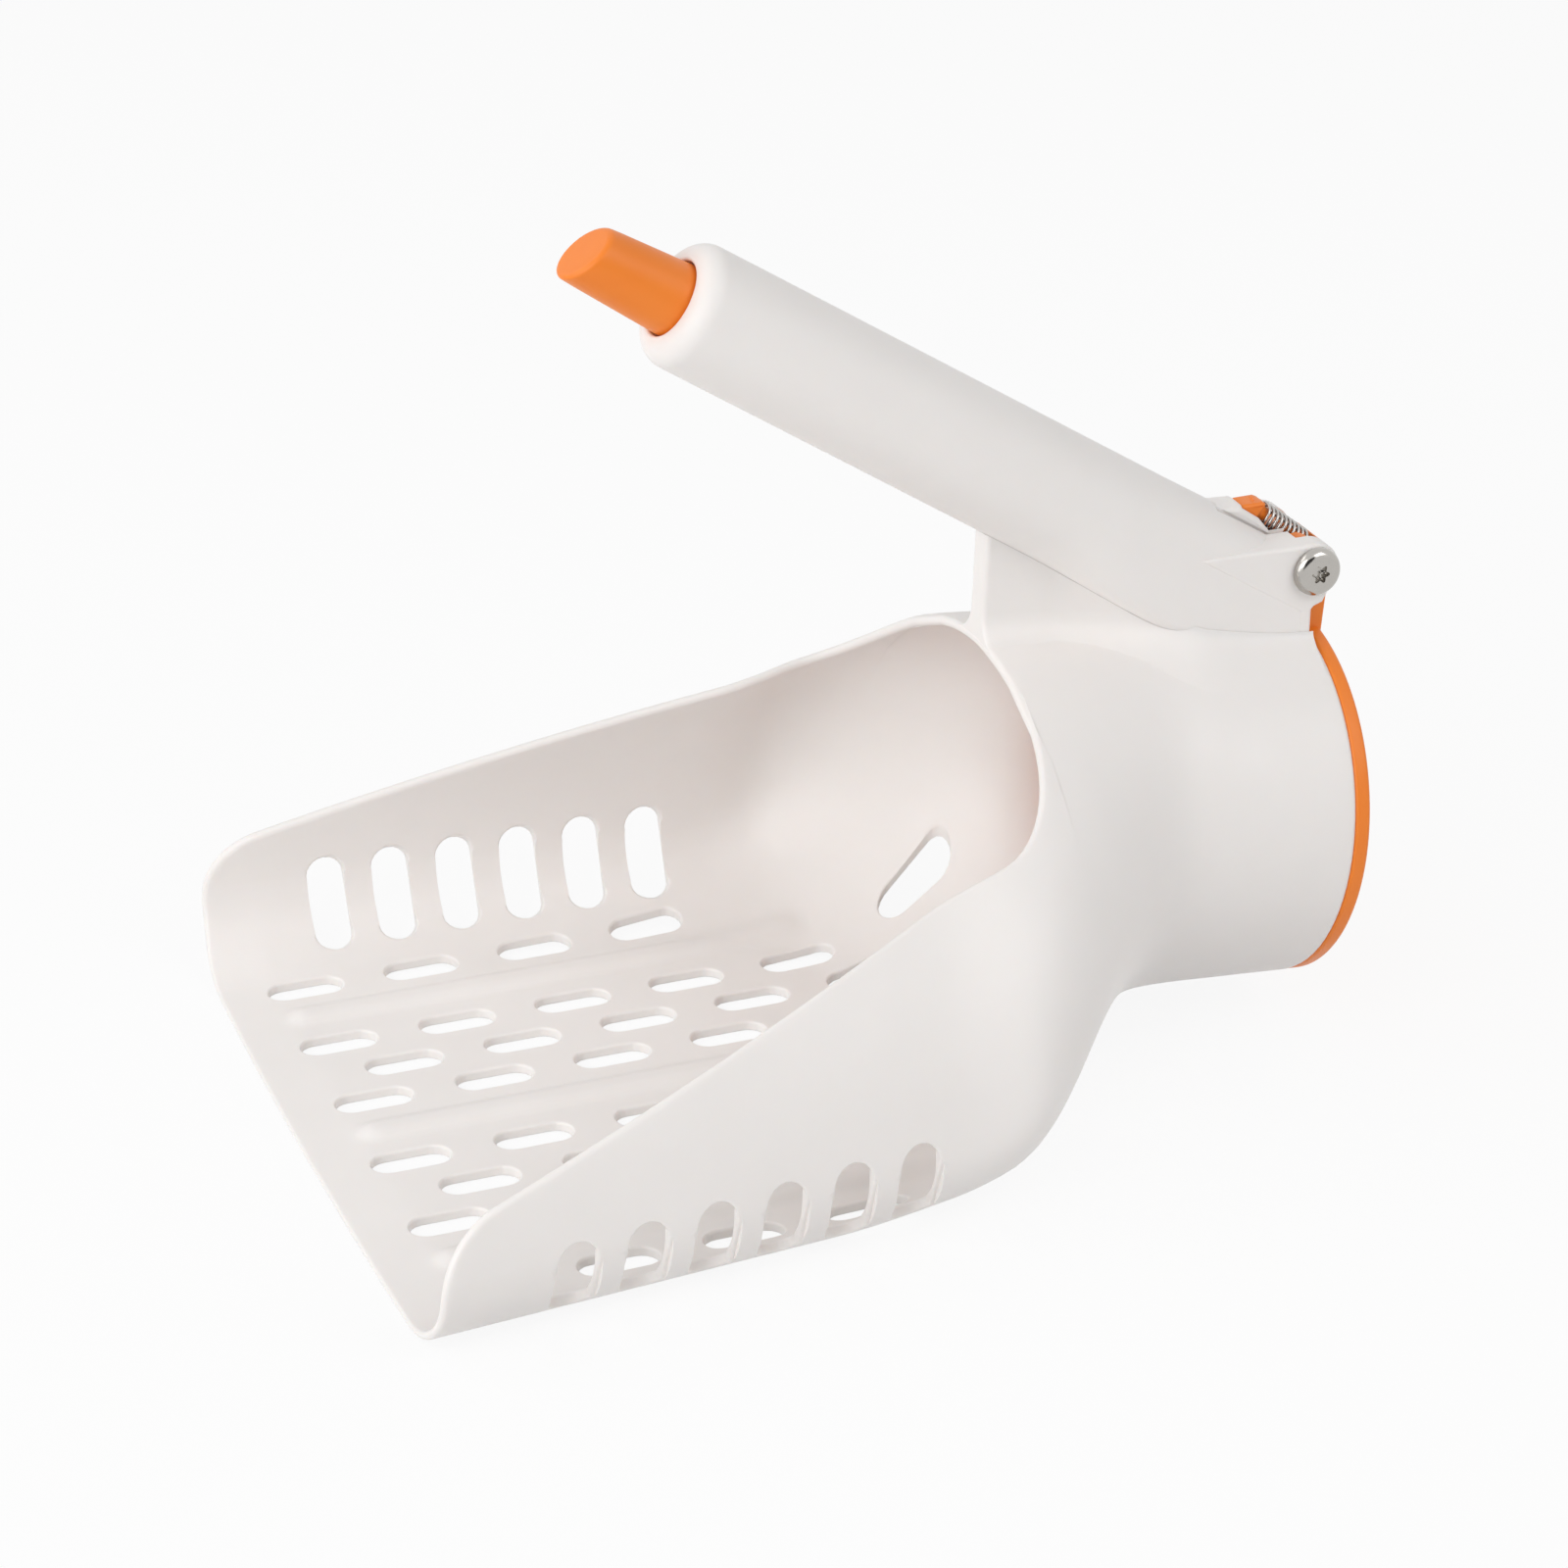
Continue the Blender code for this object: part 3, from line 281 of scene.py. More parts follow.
def grained(tree, shader, noise, strength, depth):
    skin = tree.nodes.new("ShaderNodeBump")
    skin.inputs["Strength"].default_value = strength
    skin.inputs["Distance"].default_value = depth
    tree.links.new(noise, skin.inputs["Height"])
    tree.links.new(skin.outputs["Normal"], shader.inputs["Normal"])


def satin_plastic(name, pale, deep, rough_low, rough_high, grain, bleed):
    """Moulded plastic: clouds in the colour, grain in the skin and a soft body of scattered light."""
    made, tree, shader = new_finish(name)
    clouds = noise_in(tree, Scale=38.0, Detail=4.0, Roughness=0.55)
    tinted(tree, shader, clouds, deep, pale, (0.32, 0.68))
    flow = noise_in(tree, Scale=90.0, Detail=3.0, Roughness=0.5)
    uneven_gloss(tree, shader, flow, rough_low, rough_high)
    spark = noise_in(tree, Scale=2600.0, Detail=2.0, Roughness=0.6)
    grained(tree, shader, spark, grain, 0.00004)
    shader.inputs["IOR"].default_value = 1.49
    shader.inputs["Subsurface Weight"].default_value = bleed
    shader.inputs["Subsurface Radius"].default_value = (1.0, 0.7, 0.5)
    shader.inputs["Subsurface Scale"].default_value = 0.0012
    return made


white_plastic = satin_plastic(
    "satin_white_plastic", (0.900, 0.868, 0.846), (0.880, 0.847, 0.824), 0.40, 0.50, 0.25, 0.12
)
orange_plastic = satin_plastic(
    "satin_orange_plastic", (0.920, 0.240, 0.018), (0.890, 0.217, 0.014), 0.38, 0.48, 0.25, 0.08
)
print("plastics", white_plastic.name, orange_plastic.name)

# %% [markdown]
# The screws are turned from steel and polished, and the spring is drawn wire. Polished metal is never quite
# even: handling leaves a haze, and turning or drawing leaves a fine grain. The haze sets both the gloss and
# a faint darkening, and a much finer noise gives the grain.


# %% Steel
def bright_steel(name, colour, rough_low, rough_high, scale, scratch):
    made, tree, shader = new_finish(name)
    shader.inputs["Metallic"].default_value = 1.0
    haze = noise_in(tree, Scale=scale, Detail=4.0, Roughness=0.6)
    uneven_gloss(tree, shader, haze, rough_low, rough_high)
    tinted(tree, shader, haze, [v * 0.9 for v in colour], colour, (0.0, 1.0))
    lines = noise_in(tree, Scale=scale * 12, Detail=2.0)
    grained(tree, shader, lines, scratch, 0.00002)
    return made


screw_steel = bright_steel("polished_screw_steel", (0.50, 0.48, 0.45), 0.12, 0.20, 700.0, 0.12)
spring_steel = bright_steel("drawn_spring_wire", (0.52, 0.50, 0.48), 0.20, 0.30, 900.0, 0.2)
finishes = {
    "white_plastic": white_plastic,
    "orange_plastic": orange_plastic,
    "spring_steel": spring_steel,
    "screw_steel": screw_steel,
}
for subpart in frame["record"]["subparts"]:
    solid = nodes[subpart["node"]].data
    solid.materials.clear()
    solid.materials.append(finishes[subpart["material_slot"]])
print("finishes given to", len(nodes), "solids")

# %% [markdown]
# ## The shell: tray, funnel and neck in one moulding
# On the real scoop one wall runs from the thin lip through a flat-floored tray into a round neck. A loft
# through sections is the natural way to make it: each section has a flat floor, an elliptical lower corner
# and a fuller side that turns into a circle. A designer would trim the mouth with a Boolean cut, but the
# cut edge would be sharp. Here the rows of the mesh simply stop at the rim, so the rim can be closed with a
# true half-round, as a moulded edge has.

# %% Sizes of the shell, in millimetres from the lip
HALF_WIDTH, TAPER, WALL = 85.1, 0.079, 2.2
LENGTH, NECK_RADIUS, NECK_HEIGHT, NECK_LENGTH = 206.2, 38.5, 43.0, 66.2
TILT = math.tan(math.radians(4.45))
SIDE_SLOPE = 0.313
RIM_LEAN = math.atan(SIDE_SLOPE)
WIDTH_BLEND = (LENGTH - 86.3, LENGTH - 33.5)
FLAT_BLEND = (LENGTH - 123.2, LENGTH - 24.7)
FLOOR_BLEND = (LENGTH - 88.2, LENGTH - 39.8)
ROUND_BLEND = (LENGTH - 99.8, LENGTH - 35.3)
CORNER_WIDE, CORNER_LEAST, WAIST = 19.7, 9.85, 18.0
THIN_LIP = 12.0
TRAY_FULLNESS, ROUND_FULLNESS = 1.58, 2.0
lip_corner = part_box("scoop_body")[0]


def placed(x, y, z):
    """A place measured from the lip and the floor's upper side, told in the frame's metres."""
    return Vector((lip_corner.x + x * MM, y * MM, lip_corner.z + (z + WALL) * MM))


def ease(value, start, end):
    share = min(1.0, max(0.0, (value - start) / (end - start)))
    return share * share * (3 - 2 * share)


def mix(first, second, share):
    return first + (second - first) * share


def section(x, inset):
    """Flat half-width, half-width, floor, waist, crown, fullness, axis and lean of the shell at one place."""
    axis = NECK_HEIGHT + (LENGTH - x) * TILT
    tray = HALF_WIDTH - TAPER * x
    half = mix(tray, NECK_RADIUS, ease(x, *WIDTH_BLEND))
    flat = (tray - CORNER_WIDE) * (1 - ease(x, *FLAT_BLEND))
    flat = min(flat, half - CORNER_LEAST)
    low = mix(-WALL, axis - NECK_RADIUS, ease(x, *FLOOR_BLEND))
    roundness = ease(x, *ROUND_BLEND)
    waist = mix(WAIST - WALL, axis, roundness)
    low += inset - inset / WALL * max(0.0, 1 - x / THIN_LIP)
    fullness = mix(TRAY_FULLNESS, ROUND_FULLNESS, roundness)
    return flat, half - inset, low, waist, axis + NECK_RADIUS - inset, fullness, axis, roundness * TILT


def on_section(x, inset, zone, share):
    """Half-width, height and forward lean of a point: zone 0 is the floor, 1 the corner and 2 the side."""
    flat, half, low, waist, top, fullness, axis, lean = section(x, inset)
    if zone == 0:
        y, z = flat * share, low
    elif zone == 1:
        angle = math.pi / 2 * (share - 1)
        y, z = flat + (half - flat) * math.cos(angle), waist + (waist - low) * math.sin(angle)
    else:
        y = half * max(0.0, 1 - share**fullness) ** (1 / fullness)
        z = waist + (top - waist) * share
    return y, z, lean * (z - axis)


print("neck axis at the arch mm", round(NECK_HEIGHT + NECK_LENGTH * TILT, 1))

# %% [markdown]
# The mouth is drawn in the side view: a lip that bows back towards its corners, a large round, a straight
# slope and a hollow curve up to the arch. The outline is set back by half the wall, because the half-round
# puts that back.

# %% Outline of the mouth
EDGE, LIP_EDGE = WALL / 2, 0.6
ARCH = LENGTH - NECK_LENGTH
FRONT_LEAN, LIP_BOW, RIM_START = 2.3, 1.6, 24.2
FRONT_RADIUS, ARCH_RADIUS = 17.1, 21.4
FRONT_ROUND = (FRONT_LEAN + FRONT_RADIUS, 12.35, FRONT_RADIUS - EDGE)
ARCH_ROUND = (ARCH - ARCH_RADIUS, 83.7, ARCH_RADIUS + EDGE)


def front_edge(y, z):
    """How far behind the lip's middle the front edge lies, with room for the half-round ahead of it."""
    middle_x, middle_z, radius = FRONT_ROUND
    if z > middle_z:
        return middle_x - math.sqrt(max(0.0, radius**2 - (z - middle_z) ** 2))
    bow = LIP_BOW * min(1.0, abs(y) / (HALF_WIDTH - WALL)) ** 2
    room = mix(LIP_EDGE, EDGE, ease(z, -1.6, 6.0))
    return bow + (FRONT_LEAN - LIP_BOW) * ease(z, 0.0, middle_z) + room


def rim_height(x):
    """Height of the mouth's edge in the side view: the front round, the straight slope, then the arch."""
    middle_x, middle_z, radius = FRONT_ROUND
    arch_x, arch_z, arch_radius = ARCH_ROUND
    if x < middle_x - radius * math.sin(RIM_LEAN):
        return middle_z + math.sqrt(max(0.0, radius**2 - (middle_x - x) ** 2))
    if x < arch_x + arch_radius * math.sin(RIM_LEAN):
        return RIM_START + SIDE_SLOPE * x - EDGE / math.cos(RIM_LEAN)
    return arch_z - math.sqrt(max(0.0, arch_radius**2 - (x - arch_x) ** 2))


CORNER_X = FRONT_ROUND[0] - FRONT_ROUND[2] * math.sqrt(0.5)
CORNER_Z = FRONT_ROUND[1] + FRONT_ROUND[2] * math.sqrt(0.5)
print("mouth corner at mm", round(CORNER_X, 1), round(CORNER_Z, 1), "arch at", round(ARCH, 1))

# %% [markdown]
# Three low ridges stiffen the floor. They are a soft swelling of the inner side only, so they can be added
# to the height of the floor as a smooth bump of the distance from each ridge's middle line.

# %% Ridges on the floor
RIDGES, RIDGE_START, RIDGE_END = (-50.0, 0.0, 50.0), 15.0, 119.0
RIDGE_RISE, RIDGE_CREST, RIDGE_FOOT = 1.3, 1.2, 4.6


def ridge_height(x, y):
    along = min(max(x, RIDGE_START), RIDGE_END)
    away = min(math.hypot(x - along, y - middle) for middle in RIDGES)
    return RIDGE_RISE * (1 - ease(away, RIDGE_CREST, RIDGE_FOOT))


print("ridge rise at its middle mm", ridge_height(60.0, RIDGES[2]))

# %% [markdown]
# Every row of the mesh lies in a plane. The first rows are upright and bend back at the front edge, and the
# last ones lean with the neck. A point is found by asking the section for its height, moving the section
# until the point falls in the row's plane, and asking again: five rounds are plenty.

# %% Rows of the shell
FLOOR_STEPS, CORNER_STEPS, SIDE_STEPS, CROWN_STEPS = 62, 20, 26, 14
FRONT_BEND, NECK_BACK = 34.0, 0.6


def in_row(plane, inset, zone, share):
    """A point of the shell in one row, where plane(y, z) gives the row's place along the scoop."""
    x = plane(0.0, 0.0)
    y = z = 0.0
    for _ in range(5):
        y, z, shift = on_section(x, inset, zone, share)
        x = plane(y, z) - shift
    if inset > 0 and zone < 2:
        z += ridge_height(plane(y, z), y)
    return Vector((plane(y, z), y, z))


def side_share(plane):
    """How far up the side the rim lies in one row, measured on the outside."""
    share = 0.5
    for _ in range(12):
        x = in_row(plane, 0.0, 2, share).x
        flat, half, low, waist, top, fullness, axis, lean = section(x, 0.0)
        share = mix(share, min(0.9999, (rim_height(x) - waist) / (top - waist)), 0.8)
    return share


def half_row(plane, inset, rim_share, closed):
    """One side of a row, from the floor's middle to the rim or, in the neck, to the crown."""
    points = [in_row(plane, inset, 0, i / FLOOR_STEPS) for i in range(FLOOR_STEPS + 1)]
    points += [in_row(plane, inset, 1, i / CORNER_STEPS) for i in range(1, CORNER_STEPS + 1)]
    points += [in_row(plane, inset, 2, rim_share * i / SIDE_STEPS) for i in range(1, SIDE_STEPS + 1)]
    if closed:
        start = math.asin(rim_share)
        for i in range(1, CROWN_STEPS + 1):
            angle = mix(start, math.pi / 2, i / CROWN_STEPS)
            points.append(in_row(plane, inset, 2, math.sin(angle)))
        points[-1].y = 0.0
    return points


def front_plane(along):
    """Rows at the front follow the bent edge, and the bend fades out behind it."""
    bend = max(0.0, 1 - along / FRONT_BEND) ** 2
    return lambda y, z: along + front_edge(y, min(z, CORNER_Z)) * bend


def neck_plane(share):
    return lambda y, z: mix(ARCH + EDGE, LENGTH - NECK_BACK + TILT * (z - NECK_HEIGHT), share)


arch_x, arch_z, arch_radius = ARCH_ROUND
places = [i * 1.4 for i in range(17)]
places += [mix(24.0, 124.0, i / 50) for i in range(51)]
for i in range(12):
    turn = mix(RIM_LEAN + 0.03, math.pi / 2 - 0.03, i / 11)
    places.append(arch_x + arch_radius * math.sin(turn) - NECK_BACK)
open_planes = [front_plane(along) for along in places]
closed_planes = [neck_plane(i / 34) for i in range(35)]
print("rows", len(open_planes), "open and", len(closed_planes), "closed")

# %% [markdown]
# The two skins are built row by row and mirrored, so that both halves are alike. The gap between their edges
# is closed with a strip of half-round, once all round the mouth and once round the neck's end. What follows
# needs a shell without open edges.

# %% The shell as one mesh
RIM_STEPS, TINY = 6, 2e-6


def shell_mesh():
    """Both skins of the shell, still open at the mouth and at the neck's end."""
    bm = bmesh.new()
    skins = []
    for inset in (0.0, WALL):
        rows = []
        for plane in open_planes:
            rows.append(half_row(plane, inset, side_share(plane), False))
        crown_share = side_share(closed_planes[0])
        for plane in closed_planes:
            rows.append(half_row(plane, inset, crown_share, True))
        skin = []
        for points in rows:
            right = [bm.verts.new(placed(*point)) for point in points]
            left = [right[0]] + [bm.verts.new(placed(p.x, -p.y, p.z)) for p in points[1:]]
            if len(points) > len(rows[0]):
                bm.verts.remove(left[-1])
                left[-1] = right[-1]
            skin.append((right, left))
        for (right, left), (next_right, next_left) in zip(skin, skin[1:]):
            for side, next_side in ((right, next_right), (left, next_left)):
                for i in range(len(side) - 1):
                    bm.faces.new((side[i], side[i + 1], next_side[i + 1], next_side[i]))
        skins.append(skin)
    return bm, skins


def half_round(bm, outer, inner, ahead):
    """Closes the gap between two edges of the wall with a half-round that bulges ahead."""
    strips = []
    for out, back, way in zip(outer, inner, ahead):
        middle = (out.co + back.co) / 2
        reach = (out.co - back.co) / 2
        way = (way - reach * (way.dot(reach) / reach.length_squared)).normalized()
        strip = [out]
        for i in range(1, RIM_STEPS):
            angle = math.pi * i / RIM_STEPS
            bulge = way * reach.length * math.sin(angle)
            strip.append(bm.verts.new(middle + reach * math.cos(angle) + bulge))
        strips.append(strip + [back])
    for first, second in zip(strips, strips[1:] + strips[:1]):
        for i in range(RIM_STEPS):
            bm.faces.new((first[i], first[i + 1], second[i + 1], second[i]))


def mouth_loop(skin):
    """The edge of one skin all round the mouth, with the direction that leads out of the material."""
    count = len(open_planes)
    loop = []
    for side in (0, 1):
        edge = [(vert, vert.co - behind.co) for vert, behind in zip(skin[0][side], skin[1][side])]
        for row in skin[1:count]:
            edge.append((row[side][-1], row[side][-1].co - row[side][-2].co))
        arch, behind = skin[count][side], skin[count + 1][side]
        for i in range(FLOOR_STEPS + CORNER_STEPS + SIDE_STEPS, len(arch)):
            edge.append((arch[i], arch[i].co - behind[i].co))
        loop.append(edge)
    right, left = loop
    return right + list(reversed(left[1:-1]))


bm, skins = shell_mesh()
outer_loop, inner_loop = mouth_loop(skins[0]), mouth_loop(skins[1])
ways = []
for i, (vert, out) in enumerate(outer_loop):
    tangent = outer_loop[(i + 1) % len(outer_loop)][0].co - outer_loop[i - 1][0].co
    across = vert.co - inner_loop[i][0].co
    way = tangent.cross(across)
    ways.append(way if way.dot(out) > 0 else -way)
half_round(bm, [v for v, _ in outer_loop], [v for v, _ in inner_loop], ways)
ends = []
for skin in skins:
    right, left = skin[-1]
    ends.append(right + list(reversed(left[1:-1])))
LEAN_ANGLE = math.atan(TILT)
TO_REAR = Vector((math.cos(LEAN_ANGLE), 0.0, -math.sin(LEAN_ANGLE)))
half_round(bm, ends[0], ends[1], [TO_REAR] * len(ends[0]))
bmesh.ops.remove_doubles(bm, verts=bm.verts, dist=TINY)
bmesh.ops.recalc_face_normals(bm, faces=bm.faces)
open_edges = sum(not e.is_manifold for e in bm.edges)
shell = mesh_from(bm, "scoop_shell")
print("shell faces", len(shell.polygons), "open edges", open_edges)

# %% [markdown]
# ## Cutting and joining
# Slots, screw holes and the mounts of the handle are easier to cut and join than to weave into the rows.
# Blender's exact Boolean does that well when both solids are closed and no two faces lie on each other. The
# helper below stacks such steps on one mesh and hands back the result.


# %% Boolean helper
def thing_from(bm, name):
    """A closed object, free of doubled points, that is ready for a Boolean."""
    bmesh.ops.remove_doubles(bm, verts=bm.verts, dist=TINY)
    bmesh.ops.recalc_face_normals(bm, faces=bm.faces)
    return in_scene(name, mesh_from(bm, name))


def worked(base, steps):
    """Joins and cuts a base object, in order, and returns it with the result as its own mesh."""
    for kind, tool in steps:
        step = base.modifiers.new(kind.lower(), "BOOLEAN")
        step.operation = kind
        step.solver = "EXACT"
        step.object = tool
    bpy.context.view_layer.update()
    graph = bpy.context.evaluated_depsgraph_get()
    mesh = bpy.data.meshes.new_from_object(base.evaluated_get(graph))
    base.modifiers.clear()
    base.data = mesh
    for _, tool in steps:
        bpy.data.objects.remove(tool, do_unlink=True)
    return base


SHARP = math.radians(38.0)


def satin_edges(piece):
    """Smooth shading that keeps flat faces flat: large faces decide the normals at their corners."""
    for face in piece.data.polygons:
        face.use_smooth = True
    piece.data.set_sharp_from_angle(angle=SHARP)
    even = piece.modifiers.new("even_normals", "WEIGHTED_NORMAL")
    even.mode = "FACE_AREA"
    even.weight = 50
    even.keep_sharp = True


def dressed(piece, body, slot, cad_node):
    """Gives a piece its finish and its body, and hides the solid that it stands for."""
    piece.data.materials.clear()
    piece.data.materials.append(finishes[slot])
    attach(piece, body)
    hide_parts(cad_node)
    print(piece.name, "faces", len(piece.data.polygons))


def rings_solid(rings):
    """A closed solid through rings of equal count, with flat ends."""
    bm = bmesh.new()
    rows = [[bm.verts.new(point) for point in ring] for ring in rings]
    for first, second in zip(rows, rows[1:]):
        for i in range(len(first)):
            j = (i + 1) % len(first)
            bm.faces.new((first[i], first[j], second[j], second[i]))
    bm.faces.new(rows[0])
    bm.faces.new(rows[-1])
    return bm


def one_mesh(parts):
    """Several closed solids in one, for a single Boolean step."""
    whole = bmesh.new()
    for part in parts:
        bmesh.ops.recalc_face_normals(part, faces=part.faces)
        mesh = mesh_from(part, "part")
        whole.from_mesh(mesh)
        bpy.data.meshes.remove(mesh)
    return whole


print("helpers ready")

# %% [markdown]
# ## Sieve slots
# A moulded slot has soft edges on both sides of the wall. Bevelling every cut edge afterwards is slow and
# fragile, so the cutter itself is flared like a router bit: near each skin its outline grows along a
# quarter circle. Each ring of the cutter is laid on the true skin, so the flare also fits the curved corner
# and the ramp.


# %% Slot cutters that follow the wall
def lower_skin(x, y, inset):
    """Height of the shell's lower side over a place."""
    at = x
    z = 0.0
    for _ in range(5):
        flat, half, low, waist, top, fullness, axis, lean = section(at, inset)
        out = min(1.0, max(0.0, (abs(y) - flat) / (half - flat)))
        z = waist - (waist - low) * math.sqrt(1 - out * out)
        at = x - lean * (z - axis)
    return z


def side_skin(x, z, inset):
    """Half-width of the shell's side at a place in the side view."""
    flat, half, low, waist, top, fullness, axis, lean = section(x, inset)
    if z < waist:
        down = min(1.0, (waist - z) / (waist - low))
        return flat + (half - flat) * math.sqrt(1 - down * down)
    up = min(1.0, (z - waist) / (top - waist))
    return half * (1 - up**fullness) ** (1 / fullness)


def slot_ring(middle, length, width, grow, steps=10):
    """A slot's outline with round ends, along its first direction."""
    half = width / 2 + grow
    reach = (length - width) / 2
    ring = []
    for end, start in ((1, -math.pi / 2), (-1, math.pi / 2)):
        for i in range(steps + 1):
            angle = start + math.pi * i / steps
            along = middle[0] + end * reach + half * math.cos(angle)
            ring.append((along, middle[1] + half * math.sin(angle)))
    return ring


EDGE_ROUND, LEAD, CAP_DEPTH, CAP_CLEAR = 0.55, 0.42, -1.1, 1.3
turns = [math.radians(degrees) for degrees in (74, 55, 36, 18, 0)]
FLARE = [(EDGE_ROUND * (1 - math.cos(turn)), EDGE_ROUND * (1 - math.sin(turn))) for turn in turns]
lead_grow = FLARE[0][0] + LEAD * math.sin(turns[0])
lead_deep = FLARE[0][1] - LEAD * math.cos(turns[0])
FLARE = [(lead_grow, CAP_DEPTH), (lead_grow, lead_deep)] + FLARE


def slot_cutter(middle, length, width, on_inner, on_outer):
    """Rings from above the inner skin, through the wall, to below the outer skin."""
    rings = []
    for grow, deep in FLARE:
        rings.append([on_inner(a, b, deep) for a, b in slot_ring(middle, length, width, grow)])
    for grow, deep in reversed(FLARE):
        rings.append([on_outer(a, b, deep) for a, b in slot_ring(middle, length, width, grow)])
    return rings_solid(rings)


def floor_slot(x, y, length, width):
    """A slot straight down through the floor or ramp, with flat ends that are clear of both skins."""
    reach = slot_ring((x, y), length, width, lead_grow)
    ceiling = max(lower_skin(a, b, WALL) for a, b in reach) + CAP_CLEAR
    cellar = min(lower_skin(a, b, 0.0) for a, b in reach) - CAP_CLEAR

    def on_inner(a, b, deep):
        return placed(a, b, ceiling if deep == CAP_DEPTH else lower_skin(a, b, WALL) - deep)

    def on_outer(a, b, deep):
        return placed(a, b, cellar if deep == CAP_DEPTH else lower_skin(a, b, 0.0) + deep)

    return slot_cutter((x, y), length, width, on_inner, on_outer)


SLOT_FALL, FALL_COSINE = 0.6, 0.86
CAP_INSIDE, CAP_OUTSIDE = 22.0, 7.0


def wall_slot(x, z, length, width, side):
    """A slot that falls outward through the side wall. Its heights count at the wall's inner side."""
    wall_y = HALF_WIDTH - TAPER * x - WALL

    def crossing(at_x, height, inset):
        """Where the falling line through a height meets a skin, by halving."""
        near, far = wall_y - 30.0, wall_y + 6.0
        for _ in range(26):
            y = (near + far) / 2
            if y < side_skin(at_x, height - SLOT_FALL * (y - wall_y), inset):
                near = y
            else:
                far = y
        return near

    def on_skin(inset, away, cap_y):
        def spot(height, at_x, deep):
            y = crossing(at_x, height, inset) + away * deep * FALL_COSINE
            if deep == CAP_DEPTH:
                y = cap_y
            return placed(at_x, side * y, height - SLOT_FALL * (y - wall_y))

        return spot

    on_inner = on_skin(WALL, 1, wall_y - CAP_INSIDE)
    on_outer = on_skin(0.0, -1, wall_y + CAP_OUTSIDE)
    return slot_cutter((z, x), length, width, on_inner, on_outer)


print("slots flare by mm", round(lead_grow, 2))

# %% [markdown]
# The floor has four rows of slots on each side of its middle, and one of the rows is staggered. A wider slot
# sits on each side of the ramp, and six more fall outward through each side wall.

# %% Rows of slots
FIRST_SLOT, SLOT_STEP, ROW_STEP = 18.2, 25.0, 24.8
SLOT_LONG, SLOT_WIDE, WIDER = 15.8, 7.0, 7.9
RAMP_SLOT_X, RAMP_SLOT_Y = LENGTH - 61.0, 38.4
WALL_SLOT_X, WALL_SLOT_Z, WALL_SLOT_STEP, WALL_SLOT_CLIMB = 28.4, 8.6, 13.8, 0.033
WALL_SLOT_LONG = 22.8
cutters = []
for row, stagger, count in ((0.5, 0.0, 5), (1.0, 10.0, 5), (1.5, 0.0, 5), (2.5, 0.0, 4)):
    for side in (-1, 1):
        for i in range(count):
            x = FIRST_SLOT + stagger + SLOT_STEP * i
            cutters.append(floor_slot(x, side * row * ROW_STEP, SLOT_LONG, SLOT_WIDE))
for side in (-1, 1):
    cutters.append(floor_slot(RAMP_SLOT_X, side * RAMP_SLOT_Y, SLOT_LONG, WIDER))
    for i in range(6):
        x = WALL_SLOT_X + WALL_SLOT_STEP * i
        z = WALL_SLOT_Z + WALL_SLOT_CLIMB * WALL_SLOT_STEP * i
        cutters.append(wall_slot(x, z, WALL_SLOT_LONG, WIDER, side))
print("slot cutters", len(cutters))

# %% [markdown]
# ## Web and saddle
# A thin upright web at the front and a low saddle behind it carry the handle on the neck. One loft makes
# both: its walls stand close together under the handle's middle and spread until they clasp the handle's
# cheeks. All along its foot it runs out into the neck with a hollow fillet, as mouldings do, because a
# sharp inner corner would crack.

# %% Handle directions and the pin
SLOPE = math.radians(32.37)
ALONG = Vector((math.cos(SLOPE), 0.0, -math.sin(SLOPE)))
UPWARD = Vector((math.sin(SLOPE), 0.0, math.cos(SLOPE)))
RIM_UP = Vector((math.sin(LEAN_ANGLE), 0.0, math.cos(LEAN_ANGLE)))
PIN_RISE, PIN_SETBACK, PIN_ABOVE = 13.7, 2.3, 12.0
PIN = Vector((LENGTH, 0.0, NECK_HEIGHT)) + RIM_UP * (NECK_RADIUS + PIN_RISE) - TO_REAR * PIN_SETBACK
HANDLE_MIDDLE = PIN - UPWARD * PIN_ABOVE
NOSE_RADIUS, TAIL_RADIUS, NOSE_ROUND = 12.4, 13.3, 4.4
NOSE, TAIL = -147.3, TAIL_RADIUS + PIN_ABOVE
EAR_SIDE, EAR_RADIUS, EAR_GAP = 13.0, 5.5, 17.0


def by_handle(a, y, p):
    """A place along the handle, across it and above its axis."""
    spot = HANDLE_MIDDLE + ALONG * a + UPWARD * p
    return placed(spot.x, y, spot.z)


def by_flap(out, y, up):
    """Square to the neck's rim and up along it, counted from the hinge."""
    spot = PIN + TO_REAR * out + RIM_UP * up
    return placed(spot.x, y, spot.z)


def round_pin(along, out, up):
    """The same directions for turning about the hinge: along the pin first."""
    return by_flap(out, along, up)


def turned(profile, steps, place):
    """A profile of (place, radius) turned about the first of the place's directions."""
    turns = [2 * math.pi * i / steps for i in range(steps)]
    rings = []
    for along, radius in profile:
        rings.append([place(along, radius * math.cos(turn), radius * math.sin(turn)) for turn in turns])
    return rings_solid(rings)


def arc(middle, radius, start, end, steps):
    """Points on an arc, from one angle in degrees to another."""
    points = []
    for i in range(steps + 1):
        angle = math.radians(mix(start, end, i / steps))
        points.append((middle[0] + radius * math.cos(angle), middle[1] + radius * math.sin(angle)))
    return points


